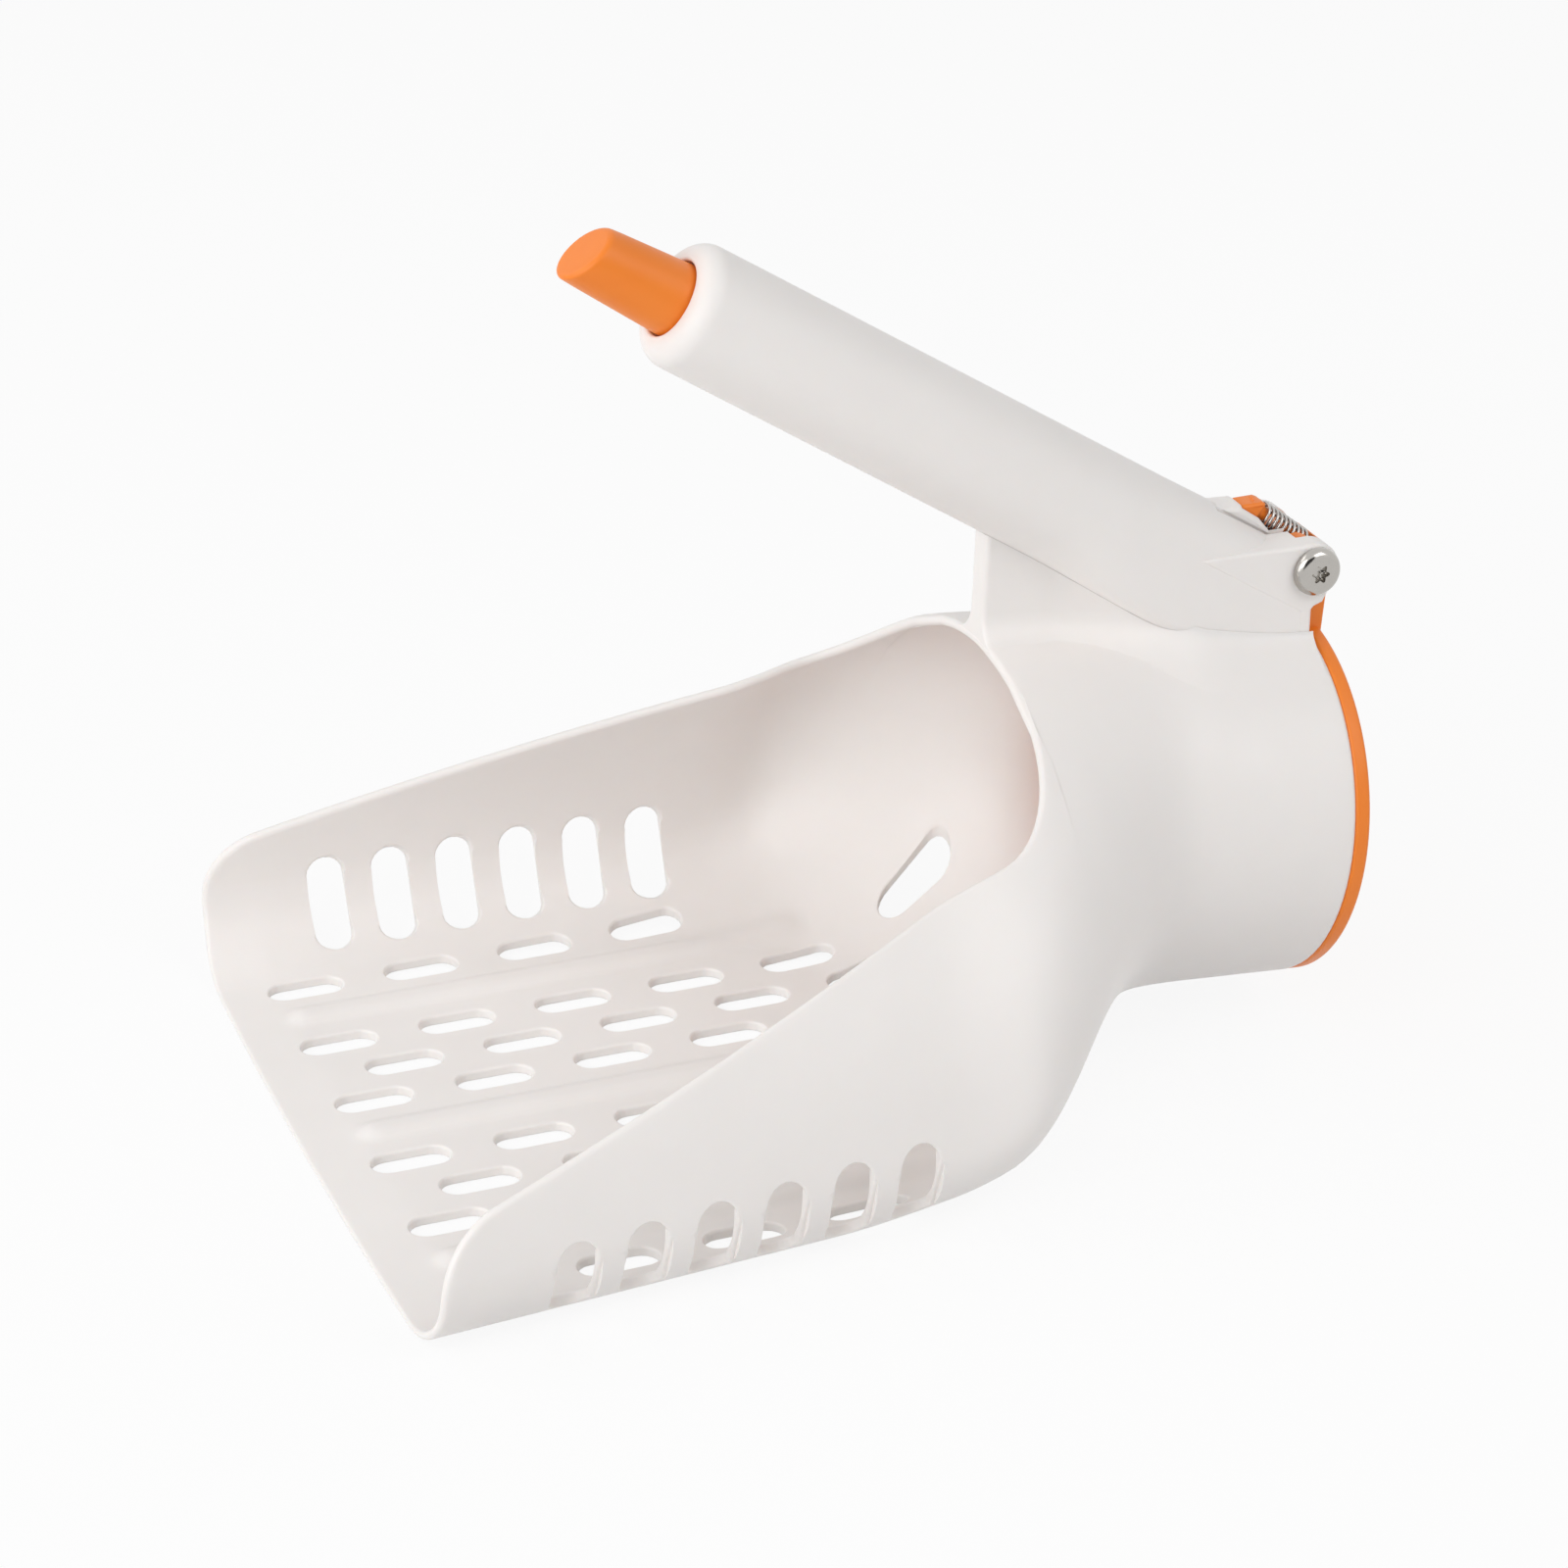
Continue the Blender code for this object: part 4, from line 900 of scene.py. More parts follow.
def inward(outline, distance):
    """An outline drawn in by a distance, corner by corner."""
    area = sum(a[0] * b[1] - b[0] * a[1] for a, b in zip(outline, outline[1:] + outline[:1]))
    turn = 1 if area > 0 else -1
    moved = []
    for i, (x, z) in enumerate(outline):
        before = Vector(outline[i - 1])
        here = Vector((x, z))
        after = Vector(outline[(i + 1) % len(outline)])
        first = (here - before).normalized()
        second = (after - here).normalized()
        left_first = Vector((-first.y, first.x)) * turn
        left_second = Vector((-second.y, second.x)) * turn
        middle = (left_first + left_second).normalized()
        moved.append(tuple(here + middle * (distance / max(0.35, middle.dot(left_first)))))
    return moved


def plate(outline, half, edge, place, steps=4):
    """A flat piece across the scoop with rounded edges all round both faces."""
    turns = [math.pi / 2 * i / steps for i in range(steps + 1)]
    rings = []
    for side, turn in [(-1, turn) for turn in turns] + [(1, turn) for turn in reversed(turns)]:
        drawn = inward(outline, edge * (1 - math.sin(turn)))
        y = side * (half - edge * (1 - math.cos(turn)))
        rings.append([place(a, y, b) for a, b in drawn])
    return rings_solid(rings)


print("hinge at mm", [round(v, 1) for v in PIN])

# %% [markdown]
# The loft has to end where the handle begins. So the handle's outer form and its ears are functions that can
# make themselves a hair larger, and the loft is cut with them. The thin seam that is left is the parting line
# between the two mouldings.

# %% Web and saddle as one loft
CHEEK_BLEND, SHOULDER_BLEND = (-52.0, -16.0), (-40.0, -8.0)


def handle_radius(a):
    return mix(NOSE_RADIUS, TAIL_RADIUS, (a - NOSE) / (TAIL - NOSE))


def handle_ring(a, radius, steps=128):
    """A ring of the tube. Near the neck its lower half squares up into cheeks and its shoulders fill."""
    square = ease(a, *CHEEK_BLEND)
    shoulder = ease(a, *SHOULDER_BLEND)
    ring = []
    for i in range(steps):
        angle = 2 * math.pi * i / steps
        c, s = math.cos(angle), math.sin(angle)
        power = 2 / (mix(2.0, 7.0, square) if s < 0 else mix(2.0, 3.0, shoulder))
        c, s = math.copysign(abs(c) ** power, c), math.copysign(abs(s) ** power, s)
        ring.append(by_handle(a, (radius + (EAR_SIDE - TAIL_RADIUS) * square) * c, radius * s))
    return ring


def handle_solid(grow):
    """The tube with its rounded nose, without its bore, and larger by a little where asked."""
    flat = NOSE_RADIUS - NOSE_ROUND
    rings = [handle_ring(NOSE - grow, flat)]
    for a, radius in arc((NOSE + NOSE_ROUND, flat), NOSE_ROUND, 180, 90, 10)[1:]:
        rings.append(handle_ring(a, radius + grow))
    for i in range(1, 49):
        a = mix(NOSE + NOSE_ROUND, TAIL, i / 48)
        rings.append(handle_ring(a, handle_radius(a) + grow))
    return rings_solid(rings)


def ear_outline(grow):
    """An ear in the side view: round over the pin, stepped below it, and down into the neck."""
    top = PIN.z + EAR_RADIUS + grow
    root = HANDLE_MIDDLE + UPWARD * (3.0 - grow)
    fall = ALONG.z / ALONG.x
    floor_z = PIN.z - PIN_RISE - 3 * WALL
    front = PIN.x - 3.0 - grow
    outline = [(root.x + (top - root.z) / fall, top)]
    outline += arc((PIN.x, PIN.z), EAR_RADIUS + grow, 90, -30, 16)
    for back, down in ((2.4, 7.4), (0.5, 8.1), (0.0, 8.7)):
        outline.append((PIN.x + back + grow, PIN.z - down - grow))
    outline.append((PIN.x + grow, floor_z))
    outline.append((front, floor_z))
    outline.append((front, root.z + (front - root.x) * fall))
    return outline


WEB_HALF, WEB_ROUND, FOOT_ROUND, RUN_OUT, FOOT_SINK = 3.0, 1.2, 5.5, 13.0, 0.25
SPREAD_BLEND, SADDLE_BLEND = (LENGTH - 52.0, LENGTH - 24.0), (LENGTH - 38.0, LENGTH - 4.0)
SADDLE_FRONT, SADDLE_REAR = 5.9, 2.7
SEAM, GAP = 0.05, 0.12
web_front = ARCH + 0.25


def fairing_ring(x, narrow):
    """Across the web or saddle: a wall up to the handle, and a hollow fillet at its foot."""
    spread = ease(x, *SPREAD_BLEND)
    wall = mix(WEB_HALF, EAR_SIDE + GAP, spread) - narrow
    axis = NECK_HEIGHT + (LENGTH - x) * TILT
    reach = HANDLE_MIDDLE.z + (x - HANDLE_MIDDLE.x) * ALONG.z / ALONG.x
    foot = axis + math.sqrt(NECK_RADIUS**2 - wall**2)
    saddle = mix(SADDLE_FRONT, SADDLE_REAR, ease(x, *SADDLE_BLEND))
    rise = mix(reach - foot, saddle, spread)
    fillet = min(FOOT_ROUND, rise - 0.2)
    run_out = mix(FOOT_ROUND, RUN_OUT, spread)
    half = [(0.4 * wall, foot + rise), (wall, foot + rise)]
    for i in range(11):
        turn = math.pi / 2 * i / 10
        y = wall + run_out * (1 - math.cos(turn))
        neck = axis + math.sqrt(NECK_RADIUS**2 - y**2)
        half.append((y, neck + fillet * (1 - math.sin(turn)) - FOOT_SINK * i / 10))
    half.append((wall + run_out, axis + NECK_RADIUS * 0.5))
    ring = half + [(-y, z) for y, z in reversed(half)]
    leans = [mix(0.03 * (z - axis - NECK_RADIUS), TILT * (z - axis), spread) for y, z in ring]
    return [placed(x + lean, y, z) for lean, (y, z) in zip(leans, ring)]


fairing_rings = []
for i in range(5):
    turn = math.pi / 2 * i / 4
    x = web_front + WEB_ROUND * (1 - math.cos(turn))
    fairing_rings.append(fairing_ring(x, WEB_ROUND * (1 - math.sin(turn))))
for i in range(1, 41):
    fairing_rings.append(fairing_ring(mix(web_front + WEB_ROUND, LENGTH - 0.8, i / 40), 0.0))
ear_room = plate(ear_outline(SEAM), EAR_SIDE + SEAM, 0.0001, placed, 1)
fairing = worked(
    thing_from(rings_solid(fairing_rings), "fairing"),
    [
        ("DIFFERENCE", thing_from(ear_room, "ear_room")),
        ("DIFFERENCE", thing_from(handle_solid(SEAM), "tube_room")),
    ],
)
print("web and saddle faces", len(fairing.data.polygons))

# %% [markdown]
# Now the shell takes its web and saddle, its slots and its screw holes. The web and saddle reach into the
# wall but must not show inside the neck, so what sticks through is cut away with the neck's own inner skin.


# %% The scoop body
def neck_core(start, end, inset):
    """A solid that fills the shell between two places, out to a skin."""
    rings = []
    for i in range(25):
        x = mix(start, end, i / 24)
        half_ring = [on_section(x, inset, 0, j / 8) for j in range(9)]
        half_ring += [on_section(x, inset, 1, j / 16) for j in range(1, 17)]
        half_ring += [on_section(x, inset, 2, math.sin(math.pi / 2 * j / 24)) for j in range(1, 25)]
        half_ring[-1] = (0.0, half_ring[-1][1], half_ring[-1][2])
        right = [placed(x + shift, y, z) for y, z, shift in half_ring]
        left = [placed(x + shift, -y, z) for y, z, shift in half_ring[1:-1]]
        rings.append(right + list(reversed(left)))
    return rings_solid(rings)


SCREW_BACK, SCREW_LEAN, SCREW_HOLE = 15.7, math.radians(12.5), 1.5
HOLE_START, HOLE_END = 33.0, 46.0
PAST_NECK = LENGTH + 12.0


def handle_screw_hole(side):
    """A hole through the neck's crown for one of the screws that hold the handle."""
    middle = Vector((LENGTH - SCREW_BACK, 0.0, NECK_HEIGHT + SCREW_BACK * TILT))
    lean = SCREW_LEAN * side
    away = Vector((0.0, math.sin(lean), math.cos(lean)))
    across = Vector((0.0, math.cos(lean), -math.sin(lean)))

    def place(a, b, c):
        return placed(*(middle + away * a + across * b + Vector((1.0, 0.0, 0.0)) * c))

    return turned([(HOLE_START, SCREW_HOLE), (HOLE_END, SCREW_HOLE)], 24, place)


scoop_skin = in_scene("scoop_body_skin", shell)
inside = neck_core(ARCH - 14.0, PAST_NECK, 0.6 * WALL)
worked(fairing, [("DIFFERENCE", thing_from(inside, "neck_core"))])
holes = one_mesh([handle_screw_hole(side) for side in (-1, 1)])
worked(
    scoop_skin,
    [
        ("UNION", fairing),
        ("DIFFERENCE", thing_from(one_mesh(cutters), "slots")),
        ("DIFFERENCE", thing_from(holes, "screw_holes")),
    ],
)
satin_edges(scoop_skin)
dressed(scoop_skin, "scoop", "white_plastic", "scoop_body")

# %% [markdown]
# ## Handle
# The handle is a hollow tube with a rounded nose and two ears at its lower end. On its crown sits a
# wedge-shaped pad that holds the spring's seat, with a thin slit down each side. The pad could be a plain
# wedge with bevelled edges, but it is an arch that grows out of the tube, so it is lofted through a few
# arched rings. A shallow groove under its edge keeps the light out of the slit and draws the dark line that
# the picture shows.

# %% Crown pad
BORE, HOLE, HOLE_ROUND, HOLE_DEEP = 8.4, 7.6, 0.6, 2.5
KNUCKLE, KNUCKLE_GAP = 4.3, 0.6
LEVER_FACE, SPRING_LENGTH, SLACK, COIL, SPRING_OVER_PIN = 3.9, 14.3, 0.3, 2.7, 2.4
SEAT_GAP, SEAT_DEEP = 0.6, 4.6
PAD_HALF, PAD_BASE, PAD_FULLNESS = 3.8, TAIL_RADIUS * 0.85, 0.4
PAD_START, PAD_LOW, PAD_TOP = 5.0, TAIL_RADIUS - 0.6, TAIL_RADIUS + 2.2
gap_start = -(KNUCKLE + KNUCKLE_GAP)
seat_front = LEVER_FACE - SPRING_LENGTH - SEAT_GAP - SEAT_DEEP - SLACK


def block(corners, low, high, place):
    """A plain box or wedge across the scoop, for cutting."""
    return rings_solid([[place(a, y, b) for a, b in corners] for y in (low, high)])


def both_sides(corners, near, far):
    """The same block on both sides of the handle."""
    return one_mesh([block(corners, near, far, by_handle), block(corners, -far, -near, by_handle)])


def oblong(start, end, low, high):
    return [(start, low), (end, low), (end, high), (start, high)]


def pad_ring(a, height):
    """Across the crown pad: an arch with full shoulders."""
    ring = []
    for i in range(33):
        angle = math.pi * i / 32
        c, s = math.cos(angle), math.sin(angle)
        y = PAD_HALF * math.copysign(abs(c) ** PAD_FULLNESS, c)
        ring.append(by_handle(a, y, PAD_BASE + (height - PAD_BASE) * abs(s) ** PAD_FULLNESS))
    return ring


pad_rings = []
for i in range(9):
    a = mix(seat_front - PAD_START, seat_front - 0.5, i / 8)
    pad_rings.append(pad_ring(a, mix(PAD_LOW, PAD_TOP, i / 8)))
pad_rings.append(pad_ring(seat_front, PAD_TOP))
pad_rings.append(pad_ring(seat_front + SEAT_DEEP, TAIL_RADIUS + 2.0))
pad_rings.append(pad_ring(gap_start + 0.1, TAIL_RADIUS - 0.4))
slit_start, slit_end = seat_front - 6.0, gap_start + WALL
slit_low, slit_high = BORE + 0.8, PAD_TOP + 2.9
slit_near, slit_far, groove_near = PAD_HALF - 0.1, PAD_HALF + 1.15, 3.22
slit = [(slit_start, slit_high), (slit_start, slit_high - 6.0), (slit_start + 1.5, slit_low)]
slit += [(slit_end, slit_low), (slit_end, slit_high)]
groove = oblong(slit_start, slit_end, TAIL_RADIUS - 0.62, TAIL_RADIUS - 0.1)
print("crown pad from", round(seat_front - PAD_START, 1), "to", round(gap_start, 1), "mm along the handle")

# %% [markdown]
# The rings of the web's cell already give the tube, with its flat cheeks and full shoulders. The bore and
# the soft edge of the button's hole are one turned cutter. The ears are a plate with rounded edges. Ears
# and pad are joined to the tube first, and then everything is cut: the slits and grooves, the bore, the gap
# for the flap's knuckle, the spring's slot, the room for the neck and the holes of the hinge screws.

# %% Handle
FAR = 160.0
TUBE_END = PIN.x - 0.44
EAR_EDGE, SPRING_ROOM = 0.9, 3.1


def pin_drill():
    """A cutter along the hinge, through both ears and the knuckle."""
    return turned([(-40.0, 2.1), (40.0, 2.1)], 48, round_pin)


behind = block(oblong(TUBE_END, TUBE_END + FAR, -FAR, FAR), -FAR, FAR, placed)
ear_gap = block(oblong(gap_start, FAR, -FAR, FAR), -EAR_GAP / 2, EAR_GAP / 2, by_handle)
spring_slot = oblong(seat_front, gap_start + WALL, BORE * 0.6, PAD_TOP + 6.0)
spring_slot = block(spring_slot, -SPRING_ROOM, SPRING_ROOM, by_handle)
hole_edge = arc((NOSE + HOLE_ROUND, HOLE + HOLE_ROUND), HOLE_ROUND, 190, 270, 6)
bore_profile = [(NOSE - 1.0, hole_edge[0][1] + HOLE_ROUND)] + hole_edge
bore_profile += [(NOSE + HOLE_DEEP, HOLE), (NOSE + HOLE_DEEP, BORE), (FAR, BORE)]
handle_skin = thing_from(handle_solid(0.0), "handle_skin")
worked(handle_skin, [("DIFFERENCE", thing_from(behind, "behind"))])
worked(
    handle_skin,
    [
        ("UNION", thing_from(plate(ear_outline(0.0), EAR_SIDE, EAR_EDGE, placed), "ears")),
        ("UNION", thing_from(rings_solid(pad_rings), "crown_pad")),
        ("DIFFERENCE", thing_from(both_sides(slit, slit_near, slit_far), "slits")),
        ("DIFFERENCE", thing_from(both_sides(groove, groove_near, slit_far - 0.1), "grooves")),
        ("DIFFERENCE", thing_from(turned(bore_profile, 128, by_handle), "bore")),
        ("DIFFERENCE", thing_from(ear_gap, "ear_gap")),
        ("DIFFERENCE", thing_from(spring_slot, "spring_slot")),
        ("DIFFERENCE", thing_from(neck_core(ARCH + 10.0, PAST_NECK, -SEAM), "neck_room")),
        ("DIFFERENCE", thing_from(pin_drill(), "pin_hole")),
    ],
)
satin_edges(handle_skin)
dressed(handle_skin, "scoop", "white_plastic", "handle")

# %% [markdown]
# ## Thumb button
# The button is a slim tapered plug whose end is cut at a slant to suit the thumb. Its cut edge is rounded.
# The rounded slant can be drawn directly: rings of the plug are sheared so that each lies parallel to the
# slanted face, and the first few, at the tip, grow along a quarter circle. A collar inside the handle keeps
# the button from falling out.

# %% Button
BUTTON_OUT, BUTTON_SLIM, BUTTON_WIDE, BUTTON_COLLAR = 20.0, 6.15, 7.3, 8.1
BUTTON_TIP = NOSE - BUTTON_OUT
COLLAR_FRONT, COLLAR_REAR = NOSE + 2.8, NOSE + 4.8
SLANT, TIP_ROUND = math.tan(math.radians(20.0)), 1.1
SOCKET, SOCKET_DEEP = 4.3, 12.0


def button_radius(a):
    share = (a - BUTTON_TIP) / (BUTTON_OUT + HOLE_DEEP)
    return mix(BUTTON_SLIM, BUTTON_WIDE, min(1.0, max(0.0, share)))


def button_ring(a, radius, slant):
    ring = []
    for i in range(96):
        angle = 2 * math.pi * i / 96
        y, p = radius * math.cos(angle), radius * math.sin(angle)
        ring.append(by_handle(a + p * slant, y, p))
    return ring


rings = [button_ring(BUTTON_TIP, radius, SLANT) for radius in (0.02, BUTTON_SLIM - 3.5)]
for i in range(7):
    turn = math.pi / 2 * i / 6
    radius = BUTTON_SLIM - TIP_ROUND * (1 - math.sin(turn))
    rings.append(button_ring(BUTTON_TIP + TIP_ROUND * (1 - math.cos(turn)), radius, SLANT))
for share in (0.1, 0.3, 0.6, 1.0):
    a = mix(BUTTON_TIP + 1.2, NOSE + HOLE_DEEP, share)
    rings.append(button_ring(a, button_radius(a), SLANT * (1 - share)))
rings.append(button_ring(COLLAR_FRONT, BUTTON_WIDE, 0.0))
rings.append(button_ring(COLLAR_FRONT, BUTTON_COLLAR, 0.0))
rings.append(button_ring(COLLAR_REAR, BUTTON_COLLAR, 0.0))
button_skin = thing_from(rings_solid(rings), "push_button_skin")
socket = turned([(COLLAR_REAR - SOCKET_DEEP, SOCKET), (NOSE + 8.0, SOCKET)], 64, by_handle)
worked(button_skin, [("DIFFERENCE", thing_from(socket, "socket"))])
satin_edges(button_skin)
dressed(button_skin, "plunger", "orange_plastic", "push_button")

# %% [markdown]
# ## Flap
# One orange moulding closes the neck: a disc with a soft edge, a tongue that climbs to the hinge, a knuckle
# between the ears, a finger inside the handle that the rod pushes, and a small lever behind the spring. All
# of them are joined as rounded solids, and a pocket leaves room for the spring.

# %% Outlines of the flap
FLAP_FRONT = PIN_SETBACK + 0.3
FLAP_BACK = FLAP_FRONT + 3.4
FRONT_EDGE, BACK_EDGE, DISC_INNER = 0.8, 1.0, 30.0
DISC_MIDDLE = -NECK_RADIUS - PIN_RISE
TONGUE_INSET, TONGUE_BACK = 0.14, 0.45
FINGER, FINGER_LEAN, FINGER_HALF = 10.5, math.radians(25), 1.3


def to_flap(a, p):
    """Turns a place by the handle, counted from the hinge, into the flap's own directions."""
    spot = ALONG * a + UPWARD * p
    return (spot.dot(TO_REAR), spot.dot(RIM_UP))


disc_profile = [(FLAP_FRONT, 0.05), (FLAP_FRONT, DISC_INNER)]
disc_profile += arc((FLAP_FRONT + FRONT_EDGE, NECK_RADIUS - FRONT_EDGE), FRONT_EDGE, 180, 90, 5)
disc_profile += arc((FLAP_BACK - BACK_EDGE, NECK_RADIUS - BACK_EDGE), BACK_EDGE, 90, 0, 6)
disc_profile += [(FLAP_BACK, DISC_INNER), (FLAP_BACK, 0.05)]
tongue_low = DISC_MIDDLE + NECK_RADIUS * 0.7
tongue = [
    (FLAP_FRONT + TONGUE_INSET, tongue_low),
    (FLAP_BACK - TONGUE_INSET, tongue_low),
    (FLAP_BACK + TONGUE_BACK, tongue_low + 5.0),
    (FLAP_BACK + TONGUE_BACK, 1.5),
    (FLAP_FRONT + TONGUE_INSET, 3.01),
]
tip = Vector(to_flap(-FINGER * math.sin(FINGER_LEAN), -FINGER * math.cos(FINGER_LEAN)))
side = Vector((-tip.y, tip.x)).normalized() * FINGER_HALF
finger = [tuple(-side), tuple(tip - side), tuple(tip + side), tuple(side)]
pocket_low = SPRING_OVER_PIN - COIL - 0.6
lever_low, lever_top, lever_back = pocket_low - 0.2, SPRING_OVER_PIN + 0.9 * COIL, LEVER_FACE + 2.0
lever = [(LEVER_FACE, lever_low), (lever_back, lever_low), (lever_back, lever_top - 0.8)]
lever += [(lever_back - 0.8, lever_top), (LEVER_FACE, lever_top)]
lever = [to_flap(a, p) for a, p in lever]
pocket = [(LEVER_FACE, pocket_low), (LEVER_FACE, 13.0), (-13.0, 13.0), (-13.0, pocket_low)]
pocket = [to_flap(a, p) for a, p in pocket]
print("finger tip at mm", [round(v, 1) for v in tip])

# %% [markdown]
# The disc is turned about the neck's middle, the knuckle about the hinge and the finger's nose about its own
# tip. Everything is joined before anything is cut, so the pocket and the screws' hole go through all that is
# in their way.


# %% Flap
def round_disc(along, out, up):
    return by_flap(along, out, DISC_MIDDLE + up)


def round_tip(along, out, up):
    return by_flap(tip.x + out, along, tip.y + up)


knuckle = [(-7.9, 4.0), (-7.6, KNUCKLE), (7.6, KNUCKLE), (7.9, 4.0)]
finger_nose = [(-3.4, 1.5), (-3.1, 1.8), (3.1, 1.8), (3.4, 1.5)]
flap_skin = thing_from(turned(disc_profile, 160, round_disc), "flap_skin")
worked(
    flap_skin,
    [
        ("UNION", thing_from(plate(tongue, 8.0, 0.6, by_flap), "tongue")),
        ("UNION", thing_from(turned(knuckle, 64, round_pin), "knuckle")),
        ("UNION", thing_from(plate(finger, 3.5, 0.4, by_flap), "finger")),
        ("UNION", thing_from(turned(finger_nose, 40, round_tip), "finger_nose")),
        ("UNION", thing_from(plate(lever, 7.6, 0.35, by_flap), "lever")),
        ("DIFFERENCE", thing_from(block(pocket, -3.3, 3.3, by_flap), "pocket")),
        ("DIFFERENCE", thing_from(pin_drill(), "flap_pin_hole")),
    ],
)
satin_edges(flap_skin)
dressed(flap_skin, "outlet_flap", "orange_plastic", "flap")

# %% [markdown]
# ## Spring and its seat
# The spring is one wire wound on a helix, with a short straight end that stands square on the seat and on
# the lever. A curve with a round bevel draws it, and it is then turned into a mesh. On the real scoop it is
# squeezed when the flap opens.

# %% Spring
WIRE, TURNS, TURN_STEPS = 0.65, 10, 28
SPRING_TILT, SPRING_HEIGHT = math.radians(5.5), PIN_ABOVE + SPRING_OVER_PIN
SPRING_ALONG = ALONG * math.cos(SPRING_TILT) - UPWARD * math.sin(SPRING_TILT)
SPRING_UP = ALONG * math.sin(SPRING_TILT) + UPWARD * math.cos(SPRING_TILT)
SPRING_FOOT = HANDLE_MIDDLE + ALONG * LEVER_FACE + UPWARD * SPRING_HEIGHT


def by_spring(a, y, p):
    """A place along the spring, across it and above its axis, counted from the lever."""
    spot = SPRING_FOOT + SPRING_ALONG * a + SPRING_UP * p
    return placed(spot.x, y + spot.y, spot.z)


mean = COIL - WIRE / 2
coil_start = -SLACK - SPRING_LENGTH + WIRE * 1.5
coil_end = -SLACK - WIRE * 1.5
coil = []
for i in range(TURNS * TURN_STEPS + 1):
    angle = 2 * math.pi * i / TURN_STEPS
    a = mix(coil_start, coil_end, i / (TURNS * TURN_STEPS))
    coil.append((a, mean * math.cos(angle), mean * math.sin(angle)))
first, last = coil[0], coil[-1]
start = [(first[0] - WIRE * s, first[1], first[2]) for s in (1.5, 0.9, 0.4)]
end = [(last[0] + WIRE * s, last[1], last[2]) for s in (0.4, 0.9, 1.5)]
wire_points = start + coil[2:-2] + end
wire = bpy.data.curves.new("spring_wire", "CURVE")
wire.dimensions = "3D"
wire.bevel_depth = WIRE / 2 * MM
wire.bevel_resolution = 3
wire.use_fill_caps = True
line = wire.splines.new("POLY")
line.points.add(len(wire_points) - 1)
for point, spot in zip(line.points, wire_points):
    point.co = (*by_spring(*spot), 1.0)
line.use_smooth = True
print("wire points", len(wire_points))

# %% [markdown]
# The mesh is read from the drawn curve, and its caps are welded on. When the flap opens, the real spring
# keeps its end at the seat and loses a good quarter of its length.

# %% Spring as a mesh
drawn = in_scene("spring_drawn", wire)
bpy.context.view_layer.update()
spring_mesh = bpy.data.meshes.new_from_object(drawn.evaluated_get(bpy.context.evaluated_depsgraph_get()))
bpy.data.objects.remove(drawn, do_unlink=True)
bm = bmesh.new()
bm.from_mesh(spring_mesh)
bmesh.ops.remove_doubles(bm, verts=bm.verts, dist=0.000001)
bmesh.ops.recalc_face_normals(bm, faces=bm.faces)
bm.to_mesh(spring_mesh)
bm.free()
for face in spring_mesh.polygons:
    face.use_smooth = True
spring_skin = in_scene("flap_spring_skin", spring_mesh)
dressed(spring_skin, "scoop", "spring_steel", "flap_spring")
spring_end = by_spring(-SLACK - SPRING_LENGTH, 0.0, 0.0)
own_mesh(spring_skin)

# %% [markdown]
# The seat is a small orange block in the crown pad. Its top is rounded and climbs towards the spring. A
# spigot on its back stands inside the spring's first turns, so that the spring can't slip off.

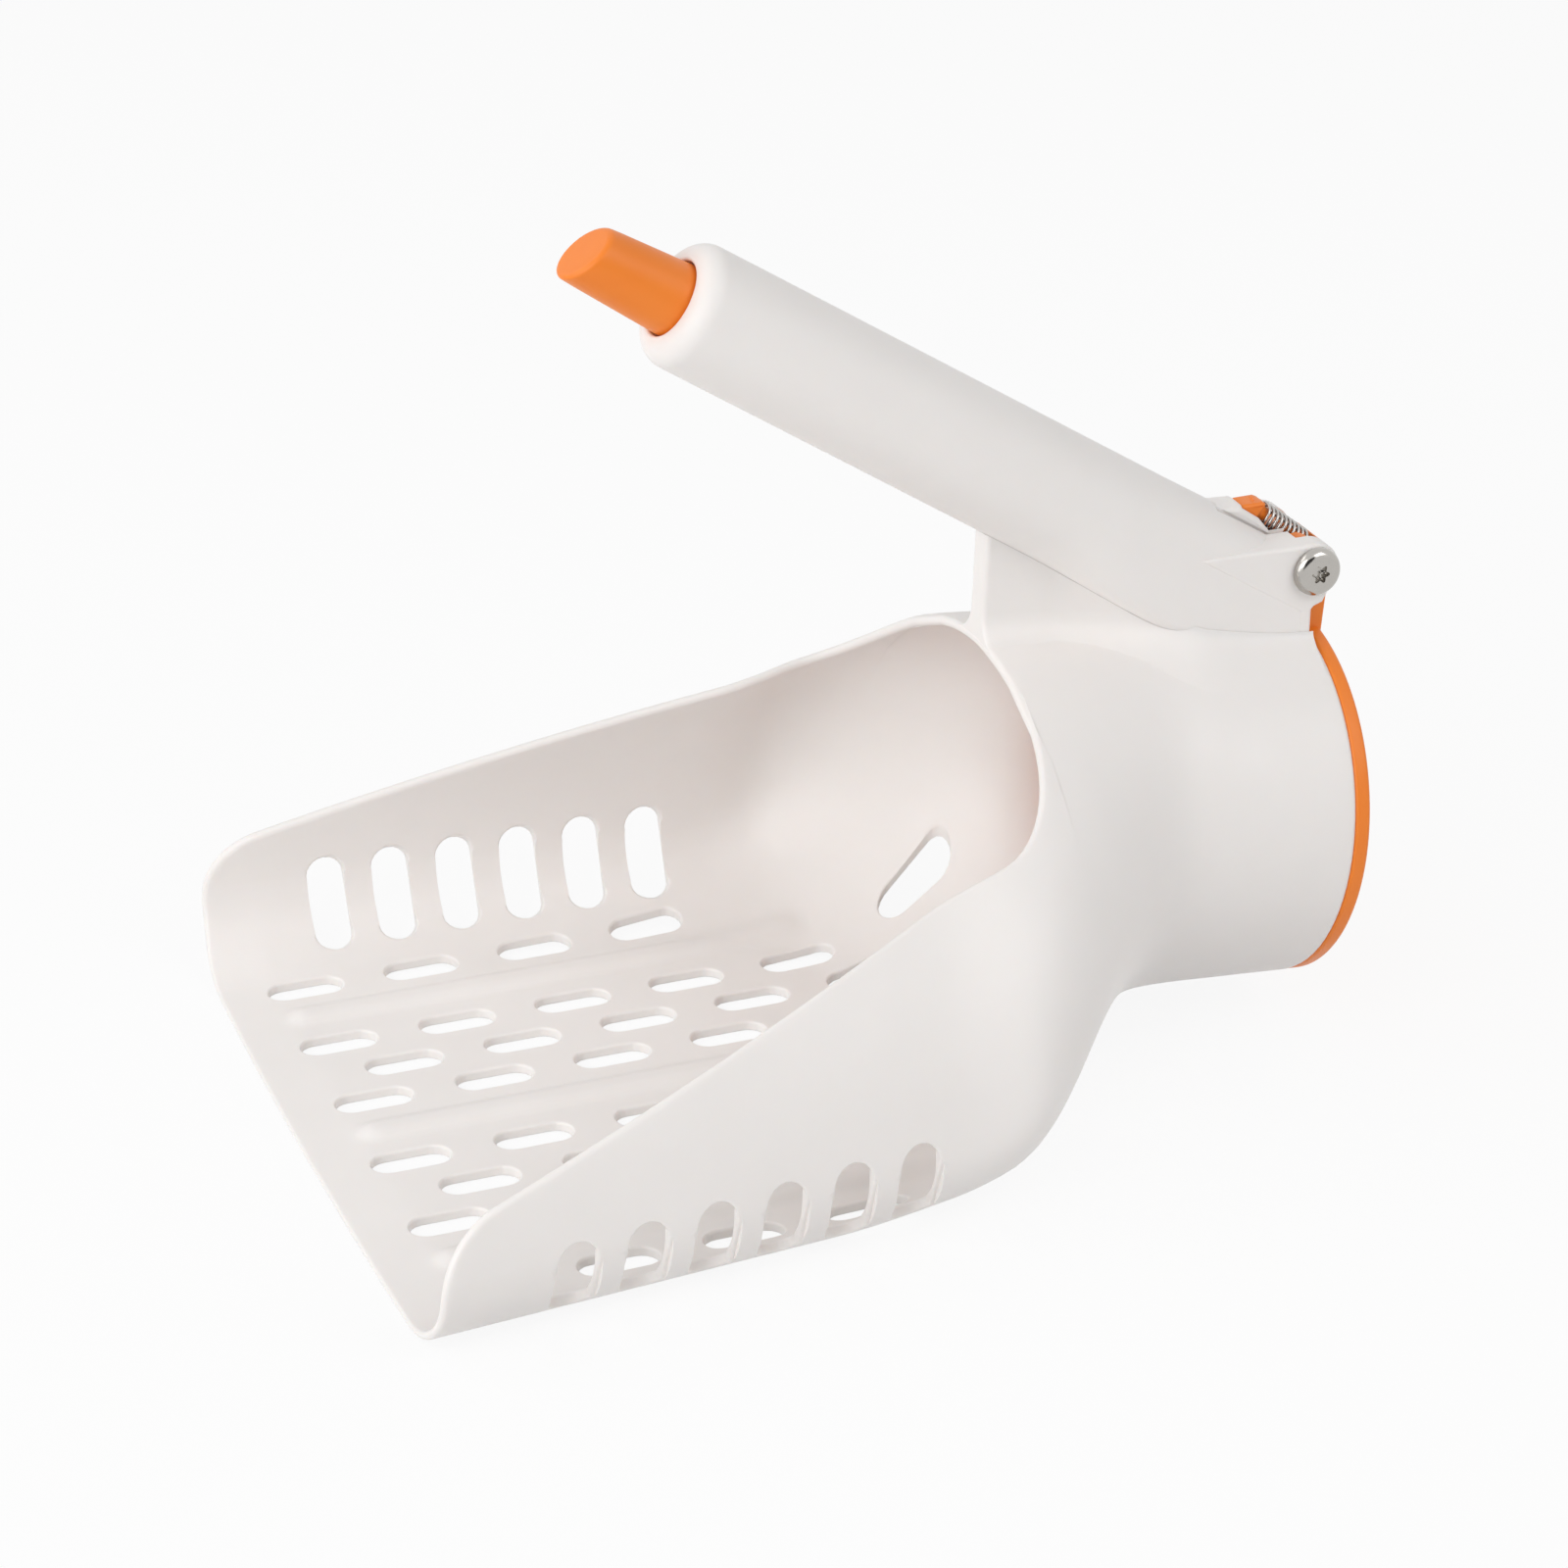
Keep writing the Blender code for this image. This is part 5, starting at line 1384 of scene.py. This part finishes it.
# %% Spring seat
seat_rear = -SPRING_LENGTH - SEAT_GAP
seat_nose = seat_rear - SEAT_DEEP
seat_low = -SPRING_HEIGHT + BORE + 1.2
seat = [
    (seat_nose, seat_low),
    (seat_rear, seat_low),
    (seat_rear, 1.9),
    (seat_rear - 0.3, 2.2),
    (seat_rear - 1.2, 2.0),
    (seat_nose + 0.9, 0.0),
    (seat_nose + 0.2, -0.6),
    (seat_nose, -1.1),
]
spigot = [(seat_rear - WALL, 1.65), (seat_rear + 2.1, 1.65), (seat_rear + 2.5, 1.25)]
seat_skin = thing_from(plate(seat, 2.65, 0.7, by_spring, 6), "spring_seat_skin")
worked(seat_skin, [("UNION", thing_from(turned(spigot, 40, by_spring), "spigot"))])
satin_edges(seat_skin)
dressed(seat_skin, "scoop", "orange_plastic", "spring_seat")

# %% [markdown]
# ## Hinge screws
# A short pan-headed screw holds each ear to the flap's knuckle. The head is a turned dome: a small arc
# rolls its lower edge, and a wider one crowns it up to a flat land round a six-lobed recess. The lobes are
# a wave on a circle. They are cut into the dome with a slight chamfer, because a sharp edge would show no
# light.

# %% Hinge screws
SHANK, SHANK_START, HEAD = 1.8, 3.9, 2.55
LOBE_MIDDLE, LOBE_WAVE, LOBES = 1.55, 0.33, 6
RECESS = ((3.4, 1.18), (2.56, 1.06), (2.3, 1.0), (1.1, 0.9), (0.9, 0.6))


def recess_ring(depth, size, place):
    ring = []
    for i in range(72):
        angle = 2 * math.pi * i / 72
        radius = size * (LOBE_MIDDLE + LOBE_WAVE * math.cos(LOBES * angle))
        ring.append(place(depth, radius * math.cos(angle), radius * math.sin(angle)))
    return ring


def hinge_screw(name, side):
    face = EAR_SIDE + GAP

    def place(a, b, c):
        return by_flap(b, side * a, c)

    rolled = arc((face + 0.4, 4.6), 0.4, 180, 90, 4)
    crown = arc((face + 0.7, 3.3), 1.7, 90, 0, 12)
    profile = [(SHANK_START, SHANK), (face, SHANK)] + rolled + crown
    profile += [(face + 2.5, 2.6), (face + HEAD, 1.2), (face + HEAD, 0.05)]
    made = thing_from(turned(profile, 96, place), name)
    recess = rings_solid([recess_ring(face + depth, size, place) for depth, size in RECESS])
    worked(made, [("DIFFERENCE", thing_from(recess, "recess"))])
    satin_edges(made)
    return made


for name, side in (("hinge_screw_left", 1), ("hinge_screw_right", -1)):
    dressed(hinge_screw(name + "_skin", side), "scoop", "screw_steel", name)
